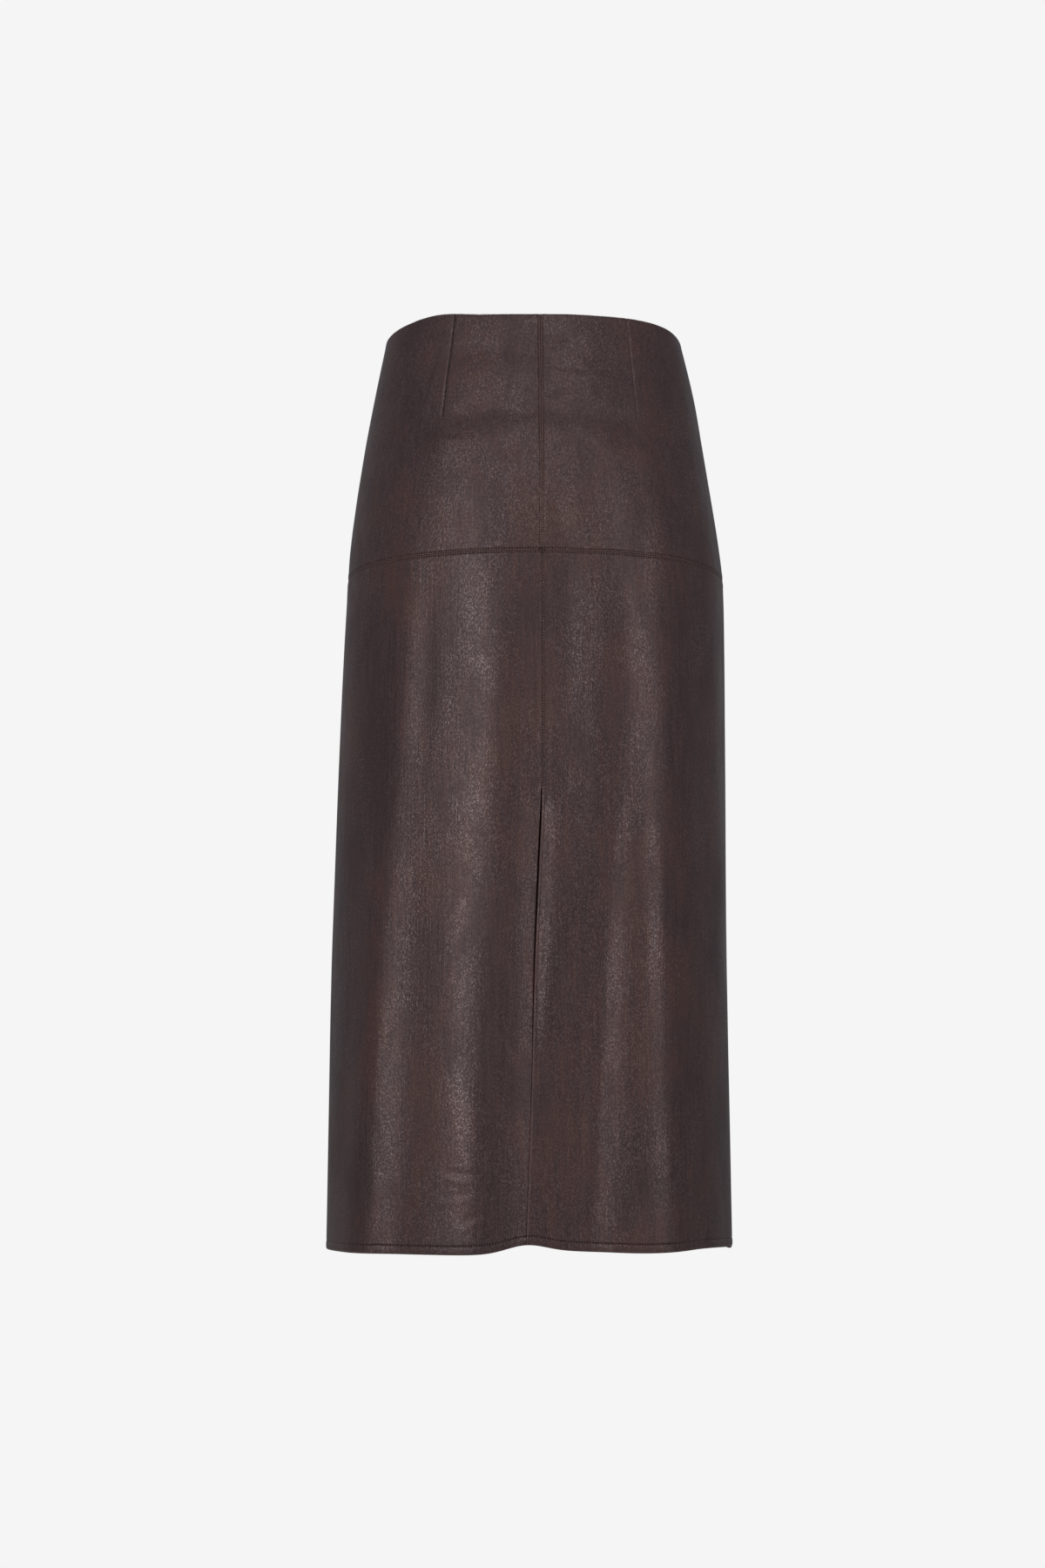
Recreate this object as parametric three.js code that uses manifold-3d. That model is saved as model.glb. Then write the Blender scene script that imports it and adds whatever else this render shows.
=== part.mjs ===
// A worn leather midi skirt, hollow, as it hangs on a general figure. Millimetres, +Z up.
// The origin is the centre of the waist, at the line where the wearer's waist holds the skirt.
// -Y is the back with the centre seam and the slit, +Y the plain front, -X the side with the concealed zip.
// "drop" is a distance down from the top edge, and "angle" runs round the body from +X through the front.
import * as THREE from "three";
import Module from "manifold-3d";
import { mergeVertices } from "three/addons/utils/BufferGeometryUtils.js";

const wasm = await Module();
wasm.setup();

// Leather and sewing
const LEATHER = 1.5;
const TURNED_EDGE = 1.3;
const TURNED_WIDTH = 8;
const TURNED_STEP = 0.8;
const SEAM_GAP = 0.3;
const SLIT_GAP = 0.8;

// Lengths of the garment
const TOP_ABOVE_WAIST = 10;
const HEM_DROP = 815;
const YOKE_DROP = 218;
const SLIT_DROP = 423;
const SQUARENESS = 2.25;
const SIDE_SEAM_FORWARD = 24;
const WAIST_DIP = 7;
const WAIST_DIP_POWER = 9;
const YOKE_DIP = 7;
const YOKE_DIP_POWER = 3;

// The body of the skirt: how far it reaches to each side of the axis, at each drop.
const sections = [
  { drop: 0, left: 130.9, right: 131.2, back: 88, front: 86 },
  { drop: 57, left: 141.8, right: 144.4, back: 101, front: 95 },
  { drop: 104, left: 150.2, right: 152.1, back: 113, front: 102 },
  { drop: 150, left: 157.5, right: 159.3, back: 123, front: 107 },
  { drop: 197, left: 163.6, right: 166.1, back: 129, front: 110 },
  { drop: 228, left: 165.6, right: 169.3, back: 131, front: 111 },
  { drop: 291, left: 168.8, right: 170.4, back: 132, front: 112 },
  { drop: 390, left: 172.4, right: 170.8, back: 131, front: 112.5 },
  { drop: 484, left: 175.2, right: 171.0, back: 131, front: 113 },
  { drop: 576, left: 178.0, right: 171.4, back: 131, front: 114 },
  { drop: 712, left: 180.2, right: 173.1, back: 132, front: 115 },
  { drop: 815, left: 181.5, right: 174.3, back: 133, front: 116 },
];

// The centre back seam, and below SLIT_DROP the slit, as a distance to the right of the axis.
const centreLine = [
  { drop: 0, x: 6.2 },
  { drop: 125, x: 7.2 },
  { drop: 218, x: 7.2 },
  { drop: 423, x: 6.9 },
  { drop: 493, x: 4.0 },
  { drop: 567, x: 1.0 },
  { drop: 677, x: -1.6 },
  { drop: 815, x: -6.6 },
];

// Where the waist's edge and the hem rise above their even lines: on one face, at x, over a half width.
const topWaves = [{ face: -1, x: -82, rise: 3, width: 26 }];
const hemWaves = [
  { face: -1, x: -6, rise: 7, width: 24 },
  { face: -1, x: 36, rise: 3, width: 46 },
  { face: -1, x: 150, rise: 3.5, width: 40 },
];

// Soft folds, as ridges (depth over 0) and troughs (under 0). x is where a fold lies at the yoke and at the
// hem, it grows from the drop "from" to the drop "full", and width is its half width.
const folds = [
  { face: -1, xYoke: -22, xHem: -61, from: 160, full: 320, depth: 7.4, width: 45 },
  { face: -1, xYoke: -112, xHem: -143, from: 130, full: 790, depth: 9.5, width: 20 },
  { face: -1, xYoke: 16, xHem: 4, from: 310, full: 700, depth: -2.2, width: 22 },
  { face: -1, xYoke: 81, xHem: 48, from: 180, full: 500, depth: 1.8, width: 12 },
  { face: -1, xYoke: 106, xHem: 113, from: 90, full: 390, depth: 9, width: 31 },
  { face: 1, xYoke: -60, xHem: -74, from: 180, full: 560, depth: 7, width: 34 },
  { face: 1, xYoke: -108, xHem: -124, from: 170, full: 600, depth: 4, width: 20 },
  { face: 1, xYoke: 4, xHem: -6, from: 260, full: 700, depth: -4, width: 30 },
  { face: 1, xYoke: 66, xHem: 74, from: 180, full: 560, depth: 7, width: 32 },
];
const FOLD_SIDE_FADE = 0.35;

// Waist darts: the stitched line leans from x at the top edge to xTip at its tip.
const DART_GROOVE = 0.9;
const DART_HALF_WIDTH = 3;
const darts = {
  back_left: { face: -1, x: -69, xTip: -79.5, length: 97 },
  back_right: { face: -1, x: 82.5, xTip: 91, length: 98 },
  front_left: { face: 1, x: -72, xTip: -80, length: 78 },
  front_right: { face: 1, x: 72, xTip: 80, length: 78 },
};

// The free edges of the slit: one curls out over the stretch below the slit's top, the other stays behind.
const SLIT_CURL = 2.4;
const SLIT_CURL_WIDTH = 10;
const SLIT_CURL_FADE = 250;
const SLIT_TUCK = 0.8;

// The concealed zip in the left side seam
const ZIP = {
  top: 9,
  length: 196,
  tapeWidth: 12,
  tapeThick: 1.0,
  tapeGap: 0.45,
  halfGap: 1.2,
  sliderDrop: 18,
  sliderReach: 10,
};
const PULL = {
  axisOut: 2.4,
  bar: 1.2,
  thick: 1.2,
  railInner: 1.1,
  railOuter: 2.2,
  plateStart: 3.0,
  shoulder: 4.6,
  plateHalfWidth: 2.7,
  length: 22,
  lean: THREE.MathUtils.degToRad(3.6),
};
const SLIDER = {
  loopInner: 1.3,
  loopOuter: 2.3,
  loopThick: 1.4,
  neckHeight: 3.4,
  bodyDeep: 2.8,
  bodyWide: 7.5,
  bodyHigh: 9,
  bodyCorner: 1.5,
  gap: 0.6,
};

const LOOKS = {
  leather: { color: 0x453636, roughness: 0.45, metalness: 0 },
  tape: { color: 0x2c2322, roughness: 0.9, metalness: 0 },
  metal: { color: 0x4a4038, roughness: 0.35, metalness: 0.9 },
};

const smooth = (low, high, value) => THREE.MathUtils.smoothstep(value, low, high);
const bump = (distance) => Math.exp(-distance * distance);

// Reads one column of a table at a drop, on a smooth curve through its rows.
function read(table, column, drop) {
  const last = table.length - 1;
  let k = table.findIndex((row) => row.drop > drop) - 1;
  if (k < 0) k = drop <= table[0].drop ? 0 : last - 1;
  const slope = (i) => {
    const a = table[Math.max(i - 1, 0)];
    const b = table[Math.min(i + 1, last)];
    return (b[column] - a[column]) / (b.drop - a.drop);
  };
  const from = table[k];
  const to = table[k + 1];
  const span = to.drop - from.drop;
  const t = THREE.MathUtils.clamp((drop - from.drop) / span, 0, 1);
  const t2 = t * t;
  const t3 = t2 * t;
  return (
    (2 * t3 - 3 * t2 + 1) * from[column] +
    (t3 - 2 * t2 + t) * span * slope(k) +
    (3 * t2 - 2 * t3) * to[column] +
    (t3 - t2) * span * slope(k + 1)
  );
}

// The skirt's outline at a drop, without folds: a rounded superellipse with its own reach on each side.
function outline(angle, drop) {
  const c = Math.cos(angle);
  const s = Math.sin(angle);
  const across = read(sections, c < 0 ? "left" : "right", drop);
  const deep = read(sections, s < 0 ? "back" : "front", drop);
  const reach = (Math.abs(c) / across) ** SQUARENESS + (Math.abs(s) / deep) ** SQUARENESS;
  const r = reach ** (-1 / SQUARENESS);
  return new THREE.Vector2(r * c, r * s);
}

function foldHeight(angle, x, drop) {
  const face = Math.sign(Math.sin(angle));
  const fade = smooth(0, FOLD_SIDE_FADE, Math.abs(Math.sin(angle)));
  let height = 0;
  for (const fold of folds) {
    if (fold.face !== face) continue;
    const along = THREE.MathUtils.clamp((drop - YOKE_DROP) / (HEM_DROP - YOKE_DROP), -1, 1);
    const centre = fold.xYoke + (fold.xHem - fold.xYoke) * along;
    height += fold.depth * smooth(fold.from, fold.full, drop) * bump((x - centre) / fold.width);
  }
  return height * fade;
}

// A point of the leather's outer face.
function surface(angle, drop) {
  const STEP = 0.004;
  const p = outline(angle, drop);
  const along = outline(angle + STEP, drop).sub(outline(angle - STEP, drop)).normalize();
  const height = foldHeight(angle, p.x, drop);
  return new THREE.Vector3(p.x + along.y * height, p.y - along.x * height, TOP_ABOVE_WAIST - drop);
}

function frameAt(angle, drop) {
  const TURN = 0.01;
  const DOWN = 1.5;
  const round = surface(angle + TURN, drop).sub(surface(angle - TURN, drop));
  const down = surface(angle, drop + DOWN).sub(surface(angle, drop - DOWN));
  return {
    perRadian: round.length() / (2 * TURN),
    tangent: round.clone().normalize(),
    outward: down.cross(round).normalize(),
  };
}

// The angle at which the outline reaches x, on the back (face -1) or the front (face 1).
function angleAt(x, drop, face) {
  let low = face < 0 ? -Math.PI : Math.PI;
  let high = 0;
  for (let i = 0; i < 40; i++) {
    const middle = (low + high) / 2;
    if (outline(middle, drop).x < x) low = middle;
    else high = middle;
  }
  return (low + high) / 2;
}

// Edges of the garment, as the drop at each angle.
const shareAcross = (angle) => {
  const side = Math.cos(angle) < 0 ? "left" : "right";
  return Math.abs(outline(angle, 0).x) / read(sections, side, 0);
};
const riseOf = (waves, angle, drop) => {
  const face = Math.sign(Math.sin(angle));
  const x = outline(angle, drop).x;
  const here = waves.filter((wave) => wave.face === face);
  return here.reduce((sum, wave) => sum + wave.rise * bump((x - wave.x) / wave.width), 0);
};
const topEdge = (angle) =>
  WAIST_DIP * shareAcross(angle) ** WAIST_DIP_POWER - riseOf(topWaves, angle, 0);
const yokeSeam = (angle) => YOKE_DROP + YOKE_DIP * shareAcross(angle) ** YOKE_DIP_POWER;
const hemEdge = (angle) => HEM_DROP - riseOf(hemWaves, angle, HEM_DROP);

// Seam lines that run down the skirt, as the angle at each drop.
const FULL_TURN = 2 * Math.PI;
const centreBack = (drop) => angleAt(read(centreLine, "x", drop), drop, -1);
const sideRight = (drop) => Math.asin(SIDE_SEAM_FORWARD / read(sections, "right", drop));
const sideLeft = (drop) => Math.PI - Math.asin(SIDE_SEAM_FORWARD / read(sections, "left", drop));
const dartLine = (dart) => (drop) =>
  angleAt(dart.x + ((dart.xTip - dart.x) * Math.min(drop, dart.length)) / dart.length, drop, dart.face);

const sideGap = () => SEAM_GAP / 2;
const zipGap = (drop) =>
  SEAM_GAP / 2 + (ZIP.halfGap - SEAM_GAP / 2) * bump((drop - ZIP.sliderDrop) / ZIP.sliderReach);
const backGap = (drop) => (drop > SLIT_DROP ? SLIT_GAP / 2 : SEAM_GAP / 2);

// A run of columns or rows: millimetre offsets from the lines that it follows, and even cells between them.
const edgeStart = [0, TURNED_WIDTH, TURNED_WIDTH + TURNED_STEP];
const edgeEnd = edgeStart.map((offset) => -offset).reverse();

// Joins a grid of outer points and a grid of inner points into one closed wall.
function wallGeometry(outer, inner) {
  const rows = outer.length;
  const columns = outer[0].length;
  const positions = [...outer.flat(), ...inner.flat()].flatMap((p) => [p.x, p.y, p.z]);
  const out = (i, j) => j * columns + i;
  const back = (i, j) => rows * columns + out(i, j);
  const index = [];
  const quad = (a, b, c, d) => index.push(a, b, c, a, c, d);
  for (let j = 0; j < rows - 1; j++) {
    for (let i = 0; i < columns - 1; i++) {
      quad(out(i, j), out(i, j + 1), out(i + 1, j + 1), out(i + 1, j));
      quad(back(i, j), back(i + 1, j), back(i + 1, j + 1), back(i, j + 1));
    }
  }
  for (let i = 0; i < columns - 1; i++) {
    quad(out(i, 0), out(i + 1, 0), back(i + 1, 0), back(i, 0));
    quad(out(i + 1, rows - 1), out(i, rows - 1), back(i, rows - 1), back(i + 1, rows - 1));
  }
  for (let j = 0; j < rows - 1; j++) {
    quad(out(0, j + 1), out(0, j), back(0, j), back(0, j + 1));
    quad(out(columns - 1, j), out(columns - 1, j + 1), back(columns - 1, j + 1), back(columns - 1, j));
  }
  const geometry = new THREE.BufferGeometry();
  geometry.setAttribute("position", new THREE.Float32BufferAttribute(positions, 3));
  geometry.setIndex(index);
  geometry.computeVertexNormals();
  return geometry;
}

// The stations across one panel along one row, whose drop is dropAt(angle): each is an angle, whether the
// edge is doubled there, and the dart whose line it is.
function stationsAcross(panel, dropAt) {
  const anchors = [
    { line: panel.start, gap: panel.startGap, offsets: edgeStart, doubled: true },
    ...(panel.darts || []).map((dart) => ({
      line: dartLine(dart),
      gap: () => 0,
      offsets: [-DART_HALF_WIDTH, 0, DART_HALF_WIDTH],
      dart,
    })),
    { line: panel.end, gap: (drop) => -panel.endGap(drop), offsets: edgeEnd, doubled: true },
  ];
  const groups = anchors.map((anchor) => {
    let at = anchor.line(0);
    for (let i = 0; i < 3; i++) at = anchor.line(dropAt(at));
    const drop = dropAt(at);
    const perRadian = frameAt(at, drop).perRadian;
    return anchor.offsets.map((offset) => ({
      angle: at + (anchor.gap(drop) + offset) / perRadian,
      doubled: Boolean(anchor.doubled) && Math.abs(offset) <= TURNED_WIDTH,
      dart: anchor.dart && offset === 0 ? anchor.dart : null,
    }));
  });
  const stations = [];
  groups.forEach((group, k) => {
    stations.push(...group);
    if (k === groups.length - 1) return;
    const from = group[group.length - 1].angle;
    const to = groups[k + 1][0].angle;
    const cells = panel.cells[k];
    for (let i = 1; i < cells; i++) {
      stations.push({ angle: from + ((to - from) * i) / cells, doubled: false, dart: null });
    }
  });
  return stations;
}

// The rows of one panel: a share of the way from its top edge to its bottom edge, and an offset from it.
function rowsDown(panel) {
  const top = [...edgeStart, ...(panel.extraRows || [])].map((offset) => ({ share: 0, offset }));
  const bottom = edgeEnd.map((offset) => ({ share: 1, offset }));
  const first = top[top.length - 1].offset;
  const last = bottom[0].offset;
  const even = [];
  for (let j = 1; j < panel.rows; j++) {
    const share = j / panel.rows;
    even.push({ share, offset: first * (1 - share) + last * share });
  }
  return [...top, ...even, ...bottom];
}

function slitOffset(panel, fromSlit, drop) {
  if (!panel.slitSide || drop < SLIT_DROP) return 0;
  const near = bump(fromSlit / SLIT_CURL_WIDTH);
  const down = drop - SLIT_DROP;
  if (panel.slitSide < 0) return -SLIT_TUCK * near * smooth(0, 30, down);
  return SLIT_CURL * near * smooth(0, 30, down) * (1 - smooth(SLIT_CURL_FADE / 2, SLIT_CURL_FADE, down));
}

// One leather panel: a wall that follows the skirt's surface, thicker inside where an edge is turned back.
function panelGeometry(panel) {
  const outer = [];
  const inner = [];
  for (const row of rowsDown(panel)) {
    const dropAt = (angle) => {
      const top = panel.top(angle) + panel.topGap;
      const bottom = panel.bottom(angle) - panel.bottomGap;
      return top + (bottom - top) * row.share + row.offset;
    };
    const rowDoubled = Math.abs(row.offset) <= TURNED_WIDTH && (row.share === 0 || row.share === 1);
    const outerRow = [];
    const innerRow = [];
    for (const station of stationsAcross(panel, dropAt)) {
      const drop = dropAt(station.angle);
      const point = surface(station.angle, drop);
      const { outward } = frameAt(station.angle, drop);
      let push = 0;
      if (station.dart) {
        push -= DART_GROOVE * (1 - smooth(station.dart.length * 0.7, station.dart.length, drop));
      }
      push += slitOffset(panel, point.x - read(centreLine, "x", drop), drop);
      const thick = LEATHER + (station.doubled || rowDoubled ? TURNED_EDGE : 0);
      outerRow.push(point.clone().addScaledVector(outward, push));
      innerRow.push(point.clone().addScaledVector(outward, (station.dart ? 0 : push) - thick));
    }
    outer.push(outerRow);
    inner.push(innerRow);
  }
  return wallGeometry(outer, inner);
}

const zipRows = [ZIP.sliderDrop - WAIST_DIP, ZIP.sliderDrop - WAIST_DIP + 11];
const upper = {
  top: topEdge,
  topGap: 0,
  bottom: yokeSeam,
  bottomGap: SEAM_GAP / 2,
  extraRows: zipRows,
  rows: 8,
};
const lower = { top: yokeSeam, topGap: SEAM_GAP / 2, bottom: hemEdge, bottomGap: 0, rows: 18 };
const leftHalf = {
  start: (drop) => sideLeft(drop) - FULL_TURN,
  end: centreBack,
  endGap: backGap,
};
const rightHalf = { start: centreBack, startGap: backGap, end: sideRight, endGap: sideGap };
const frontHalf = { start: sideRight, startGap: sideGap, end: sideLeft };
const panels = {
  back_upper_left: {
    ...upper,
    ...leftHalf,
    startGap: zipGap,
    darts: [darts.back_left],
    cells: [6, 6],
  },
  back_upper_right: { ...upper, ...rightHalf, darts: [darts.back_right], cells: [6, 6] },
  back_lower_left: { ...lower, ...leftHalf, startGap: sideGap, slitSide: -1, cells: [15] },
  back_lower_right: { ...lower, ...rightHalf, slitSide: 1, cells: [15] },
  front_upper: {
    ...upper,
    ...frontHalf,
    endGap: zipGap,
    darts: [darts.front_right, darts.front_left],
    cells: [5, 8, 5],
  },
  front_lower: { ...lower, ...frontHalf, endGap: sideGap, cells: [22] },
};

// One tape of the zip, on the inside of the doubled edge. side is -1 for the back panel and 1 for the front.
function tapeGeometry(side) {
  const ROWS = 9;
  const outer = [];
  const inner = [];
  const outerDepth = LEATHER + TURNED_EDGE + ZIP.tapeGap;
  for (let j = 0; j <= ROWS; j++) {
    const drop = ZIP.top + (ZIP.length * j) / ROWS;
    const seam = sideLeft(drop);
    const perRadian = frameAt(seam, drop).perRadian;
    const offsets = side < 0 ? [ZIP.halfGap, ZIP.halfGap + ZIP.tapeWidth] : [-ZIP.halfGap - ZIP.tapeWidth, -ZIP.halfGap];
    const columns = offsets.map((offset) => {
      const angle = seam + offset / perRadian;
      return { point: surface(angle, drop), outward: frameAt(angle, drop).outward };
    });
    outer.push(columns.map((c) => c.point.clone().addScaledVector(c.outward, -outerDepth)));
    inner.push(columns.map((c) => c.point.clone().addScaledVector(c.outward, -outerDepth - ZIP.tapeThick)));
  }
  return wallGeometry(outer, inner);
}

// An extruded outline, turned so that its drawing plane is the local X and Z and its thickness lies along Y.
function plate(shape, thick) {
  const geometry = new THREE.ExtrudeGeometry(shape, { depth: thick, bevelEnabled: false, curveSegments: 8 });
  geometry.translate(0, 0, -thick / 2);
  geometry.rotateX(Math.PI / 2);
  return geometry;
}

function roundedRectangle(halfWide, low, high, corner) {
  const shape = new THREE.Shape();
  shape.moveTo(-halfWide + corner, low);
  shape.lineTo(halfWide - corner, low);
  shape.absarc(halfWide - corner, low + corner, corner, -Math.PI / 2, 0, false);
  shape.lineTo(halfWide, high - corner);
  shape.absarc(halfWide - corner, high - corner, corner, 0, Math.PI / 2, false);
  shape.lineTo(-halfWide + corner, high);
  shape.absarc(-halfWide + corner, high - corner, corner, Math.PI / 2, Math.PI, false);
  shape.lineTo(-halfWide, low + corner);
  shape.absarc(-halfWide + corner, low + corner, corner, Math.PI, 1.5 * Math.PI, false);
  return shape;
}

function solidOf(geometry) {
  const plain = geometry.clone();
  plain.deleteAttribute("normal");
  plain.deleteAttribute("uv");
  const merged = mergeVertices(plain, 1e-4);
  return new wasm.Manifold(
    new wasm.Mesh({
      numProp: 3,
      vertProperties: merged.attributes.position.array,
      triVerts: new Uint32Array(merged.index.array),
    }),
  );
}

function geometryOf(solid) {
  const mesh = solid.getMesh();
  const geometry = new THREE.BufferGeometry();
  geometry.setAttribute("position", new THREE.Float32BufferAttribute(mesh.vertProperties, 3));
  geometry.setIndex([...mesh.triVerts]);
  geometry.computeVertexNormals();
  return geometry;
}

// The slider: a body on the inside of the tapes, a neck between the parted seam edges, and a loop outside.
function sliderGeometry() {
  const loop = new THREE.Shape();
  loop.absarc(PULL.axisOut, 0, SLIDER.loopOuter, 0, FULL_TURN, false);
  const hole = new THREE.Path();
  hole.absarc(PULL.axisOut, 0, SLIDER.loopInner, 0, FULL_TURN, true);
  loop.holes.push(hole);
  const bodyOut = -(LEATHER + TURNED_EDGE + ZIP.tapeGap + ZIP.tapeThick + SLIDER.gap);
  const bodyIn = bodyOut - SLIDER.bodyDeep;
  const neckOut = PULL.axisOut - (SLIDER.loopInner + SLIDER.loopOuter) / 2 + 0.2;
  const neck = new THREE.BoxGeometry(neckOut - bodyIn, SLIDER.loopThick, SLIDER.neckHeight);
  neck.translate((neckOut + bodyIn) / 2, 0, 0);
  const half = SLIDER.bodyHigh / 2;
  const face = roundedRectangle(SLIDER.bodyWide / 2, -half, half, SLIDER.bodyCorner);
  const body = new THREE.ExtrudeGeometry(face, { depth: SLIDER.bodyDeep, bevelEnabled: false, curveSegments: 4 });
  body.applyMatrix4(
    new THREE.Matrix4().makeBasis(
      new THREE.Vector3(0, 1, 0),
      new THREE.Vector3(0, 0, 1),
      new THREE.Vector3(1, 0, 0),
    ),
  );
  body.translate(bodyIn, 0, 0);
  return geometryOf(solidOf(plate(loop, SLIDER.loopThick)).add(solidOf(neck)).add(solidOf(body)));
}

// The pull tab: a flat teardrop with a window whose top bar lies in the slider's loop.
function pullGeometry() {
  const top = PULL.bar / 2;
  const tab = new THREE.Shape();
  tab.moveTo(-PULL.railOuter, top);
  tab.lineTo(-PULL.railOuter, -PULL.shoulder);
  tab.lineTo(-PULL.plateHalfWidth, -PULL.length + PULL.plateHalfWidth);
  tab.absarc(0, -PULL.length + PULL.plateHalfWidth, PULL.plateHalfWidth, Math.PI, FULL_TURN, false);
  tab.lineTo(PULL.railOuter, -PULL.shoulder);
  tab.lineTo(PULL.railOuter, top);
  const window = new THREE.Path();
  window.moveTo(-PULL.railInner, -top);
  window.lineTo(-PULL.railInner, -PULL.plateStart);
  window.lineTo(PULL.railInner, -PULL.plateStart);
  window.lineTo(PULL.railInner, -top);
  tab.holes.push(window);
  const geometry = new THREE.ExtrudeGeometry(tab, { depth: PULL.thick, bevelEnabled: false, curveSegments: 8 });
  geometry.translate(0, 0, -PULL.thick / 2);
  geometry.applyMatrix4(
    new THREE.Matrix4().makeBasis(
      new THREE.Vector3(0, 1, 0),
      new THREE.Vector3(0, 0, 1),
      new THREE.Vector3(1, 0, 0),
    ),
  );
  geometry.rotateY(PULL.lean);
  return geometry;
}

function meshOf(name, geometry, look) {
  const mesh = new THREE.Mesh(geometry, new THREE.MeshStandardMaterial(look));
  mesh.name = name;
  return mesh;
}

// The zip's own place: X out of the leather, Y round the body, Z up the slope of the side.
function zipPlace() {
  const angle = sideLeft(ZIP.sliderDrop);
  const { tangent, outward } = frameAt(angle, ZIP.sliderDrop);
  const up = outward.clone().cross(tangent);
  const place = new THREE.Group();
  place.quaternion.setFromRotationMatrix(new THREE.Matrix4().makeBasis(outward, tangent, up));
  place.position.copy(surface(angle, ZIP.sliderDrop));
  return place;
}

const skirt = new THREE.Group();
for (const [name, panel] of Object.entries(panels)) {
  skirt.add(meshOf(name, panelGeometry(panel), LOOKS.leather));
}
skirt.add(meshOf("zip_tape_back", tapeGeometry(-1), LOOKS.tape));
skirt.add(meshOf("zip_tape_front", tapeGeometry(1), LOOKS.tape));

const zip = zipPlace();
zip.add(meshOf("zip_slider", sliderGeometry(), LOOKS.metal));
const pull = meshOf("zip_pull", pullGeometry(), LOOKS.metal);
pull.position.set(PULL.axisOut, 0, 0);
zip.add(pull);
skirt.add(zip);

export default skirt;
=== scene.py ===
"""The looks of a worn, hollow leather midi skirt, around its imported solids.

Sizes are in millimetres in the row's frame until a mesh is made, and in metres in Blender. "drop" is a distance
down from the top edge, and "angle" runs round the body from +X through the front. -Y is the back, which the
camera sees, with the centre seam and the slit.
"""

import logging
import math
from dataclasses import dataclass, field
from enum import Enum
from functools import partial
from typing import Callable, Sequence

import bpy
import numpy as np
from mathutils import Matrix, Vector


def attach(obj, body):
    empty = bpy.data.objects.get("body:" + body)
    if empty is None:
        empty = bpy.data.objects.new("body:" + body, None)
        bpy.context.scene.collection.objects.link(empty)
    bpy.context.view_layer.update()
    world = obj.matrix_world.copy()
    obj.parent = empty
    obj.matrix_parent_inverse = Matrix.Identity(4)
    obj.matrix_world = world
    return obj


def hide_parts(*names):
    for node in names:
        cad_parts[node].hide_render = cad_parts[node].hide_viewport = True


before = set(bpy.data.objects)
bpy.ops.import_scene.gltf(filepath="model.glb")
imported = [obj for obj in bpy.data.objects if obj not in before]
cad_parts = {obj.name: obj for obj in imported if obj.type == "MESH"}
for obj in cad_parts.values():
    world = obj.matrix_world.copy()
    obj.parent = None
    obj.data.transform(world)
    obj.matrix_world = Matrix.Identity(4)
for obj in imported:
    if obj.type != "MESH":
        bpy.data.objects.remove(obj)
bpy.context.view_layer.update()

MM = 0.001
FULL_TURN = 2 * math.pi

log = logging.getLogger("skirt")
logging.basicConfig(level=logging.INFO, format="%(name)s: %(message)s")


class Face(Enum):
    """Which half of the skirt a fold, dart or crease lies on."""

    BACK = -1
    FRONT = 1


class Line(Enum):
    """A seam line that runs down the skirt."""

    LEFT_SIDE = "left side"
    CENTRE_BACK = "centre back"
    RIGHT_SIDE = "right side"


class Edge(Enum):
    """An edge or seam that runs round the skirt."""

    WAIST = "waist"
    YOKE = "yoke"
    HEM = "hem"


class Side(Enum):
    """A side of a panel: its upper or lower edge, or the seam where it starts or ends round the body."""

    TOP = "top"
    BOTTOM = "bottom"
    START = "start"
    END = "end"


@dataclass(frozen=True)
class Section:
    """How far the skirt reaches to each side of its axis at one drop."""

    drop: float
    left: float
    right: float
    back: float
    front: float


@dataclass(frozen=True)
class LinePoint:
    """A place of a seam that runs down the skirt: how far right of the axis it is at one drop."""

    drop: float
    x: float


@dataclass(frozen=True)
class Wave:
    """A place where an edge rises above its even line."""

    face: Face
    x: float
    rise: float
    width: float


@dataclass(frozen=True)
class Fold:
    """A soft fold: a ridge where depth is over 0 and a trough where it is under 0."""

    face: Face
    x_yoke: float
    x_hem: float
    start: float
    full: float
    depth: float
    width: float


@dataclass(frozen=True)
class Dart:
    """A waist dart, stitched from the top edge down to its tip."""

    face: Face
    x: float
    x_tip: float
    length: float
    lip: float = 0.0


@dataclass(frozen=True)
class Crease:
    """A crease in the leather: its middle, length, lean from the horizontal, half width, depth and bow."""

    face: Face
    x: float
    drop: float
    length: float
    lean: float
    width: float
    depth: float
    bow: float = 0.004
    end_power: float = 1.5
    ridge: float = 0.6
    ridge_at: float = 1.9
    ridge_width: float = 1.2

    def height(self, points: np.ndarray, drop: np.ndarray) -> np.ndarray:
        """Gives the trough of the crease and the soft ridge beside it.

        Args:
            points: the places to give it at.
            drop: their drops.

        Returns:
            The height at each place.
        """
        x = points[..., 0] - self.x
        down = drop - self.drop
        lean = math.radians(self.lean)
        across = x * math.cos(lean) + down * math.sin(lean)
        off = -x * math.sin(lean) + down * math.cos(lean) + self.bow * across**2
        reach = np.clip(1.0 - (2 * across / self.length) ** 2, 0.0, 1.0) ** self.end_power
        ridge = bump((off - self.ridge_at * self.width) / (self.ridge_width * self.width))
        trough = bump(off / self.width) - self.ridge * ridge
        return np.where(np.sign(points[..., 1]) == self.face.value, -self.depth * trough * reach, 0.0)


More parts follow.
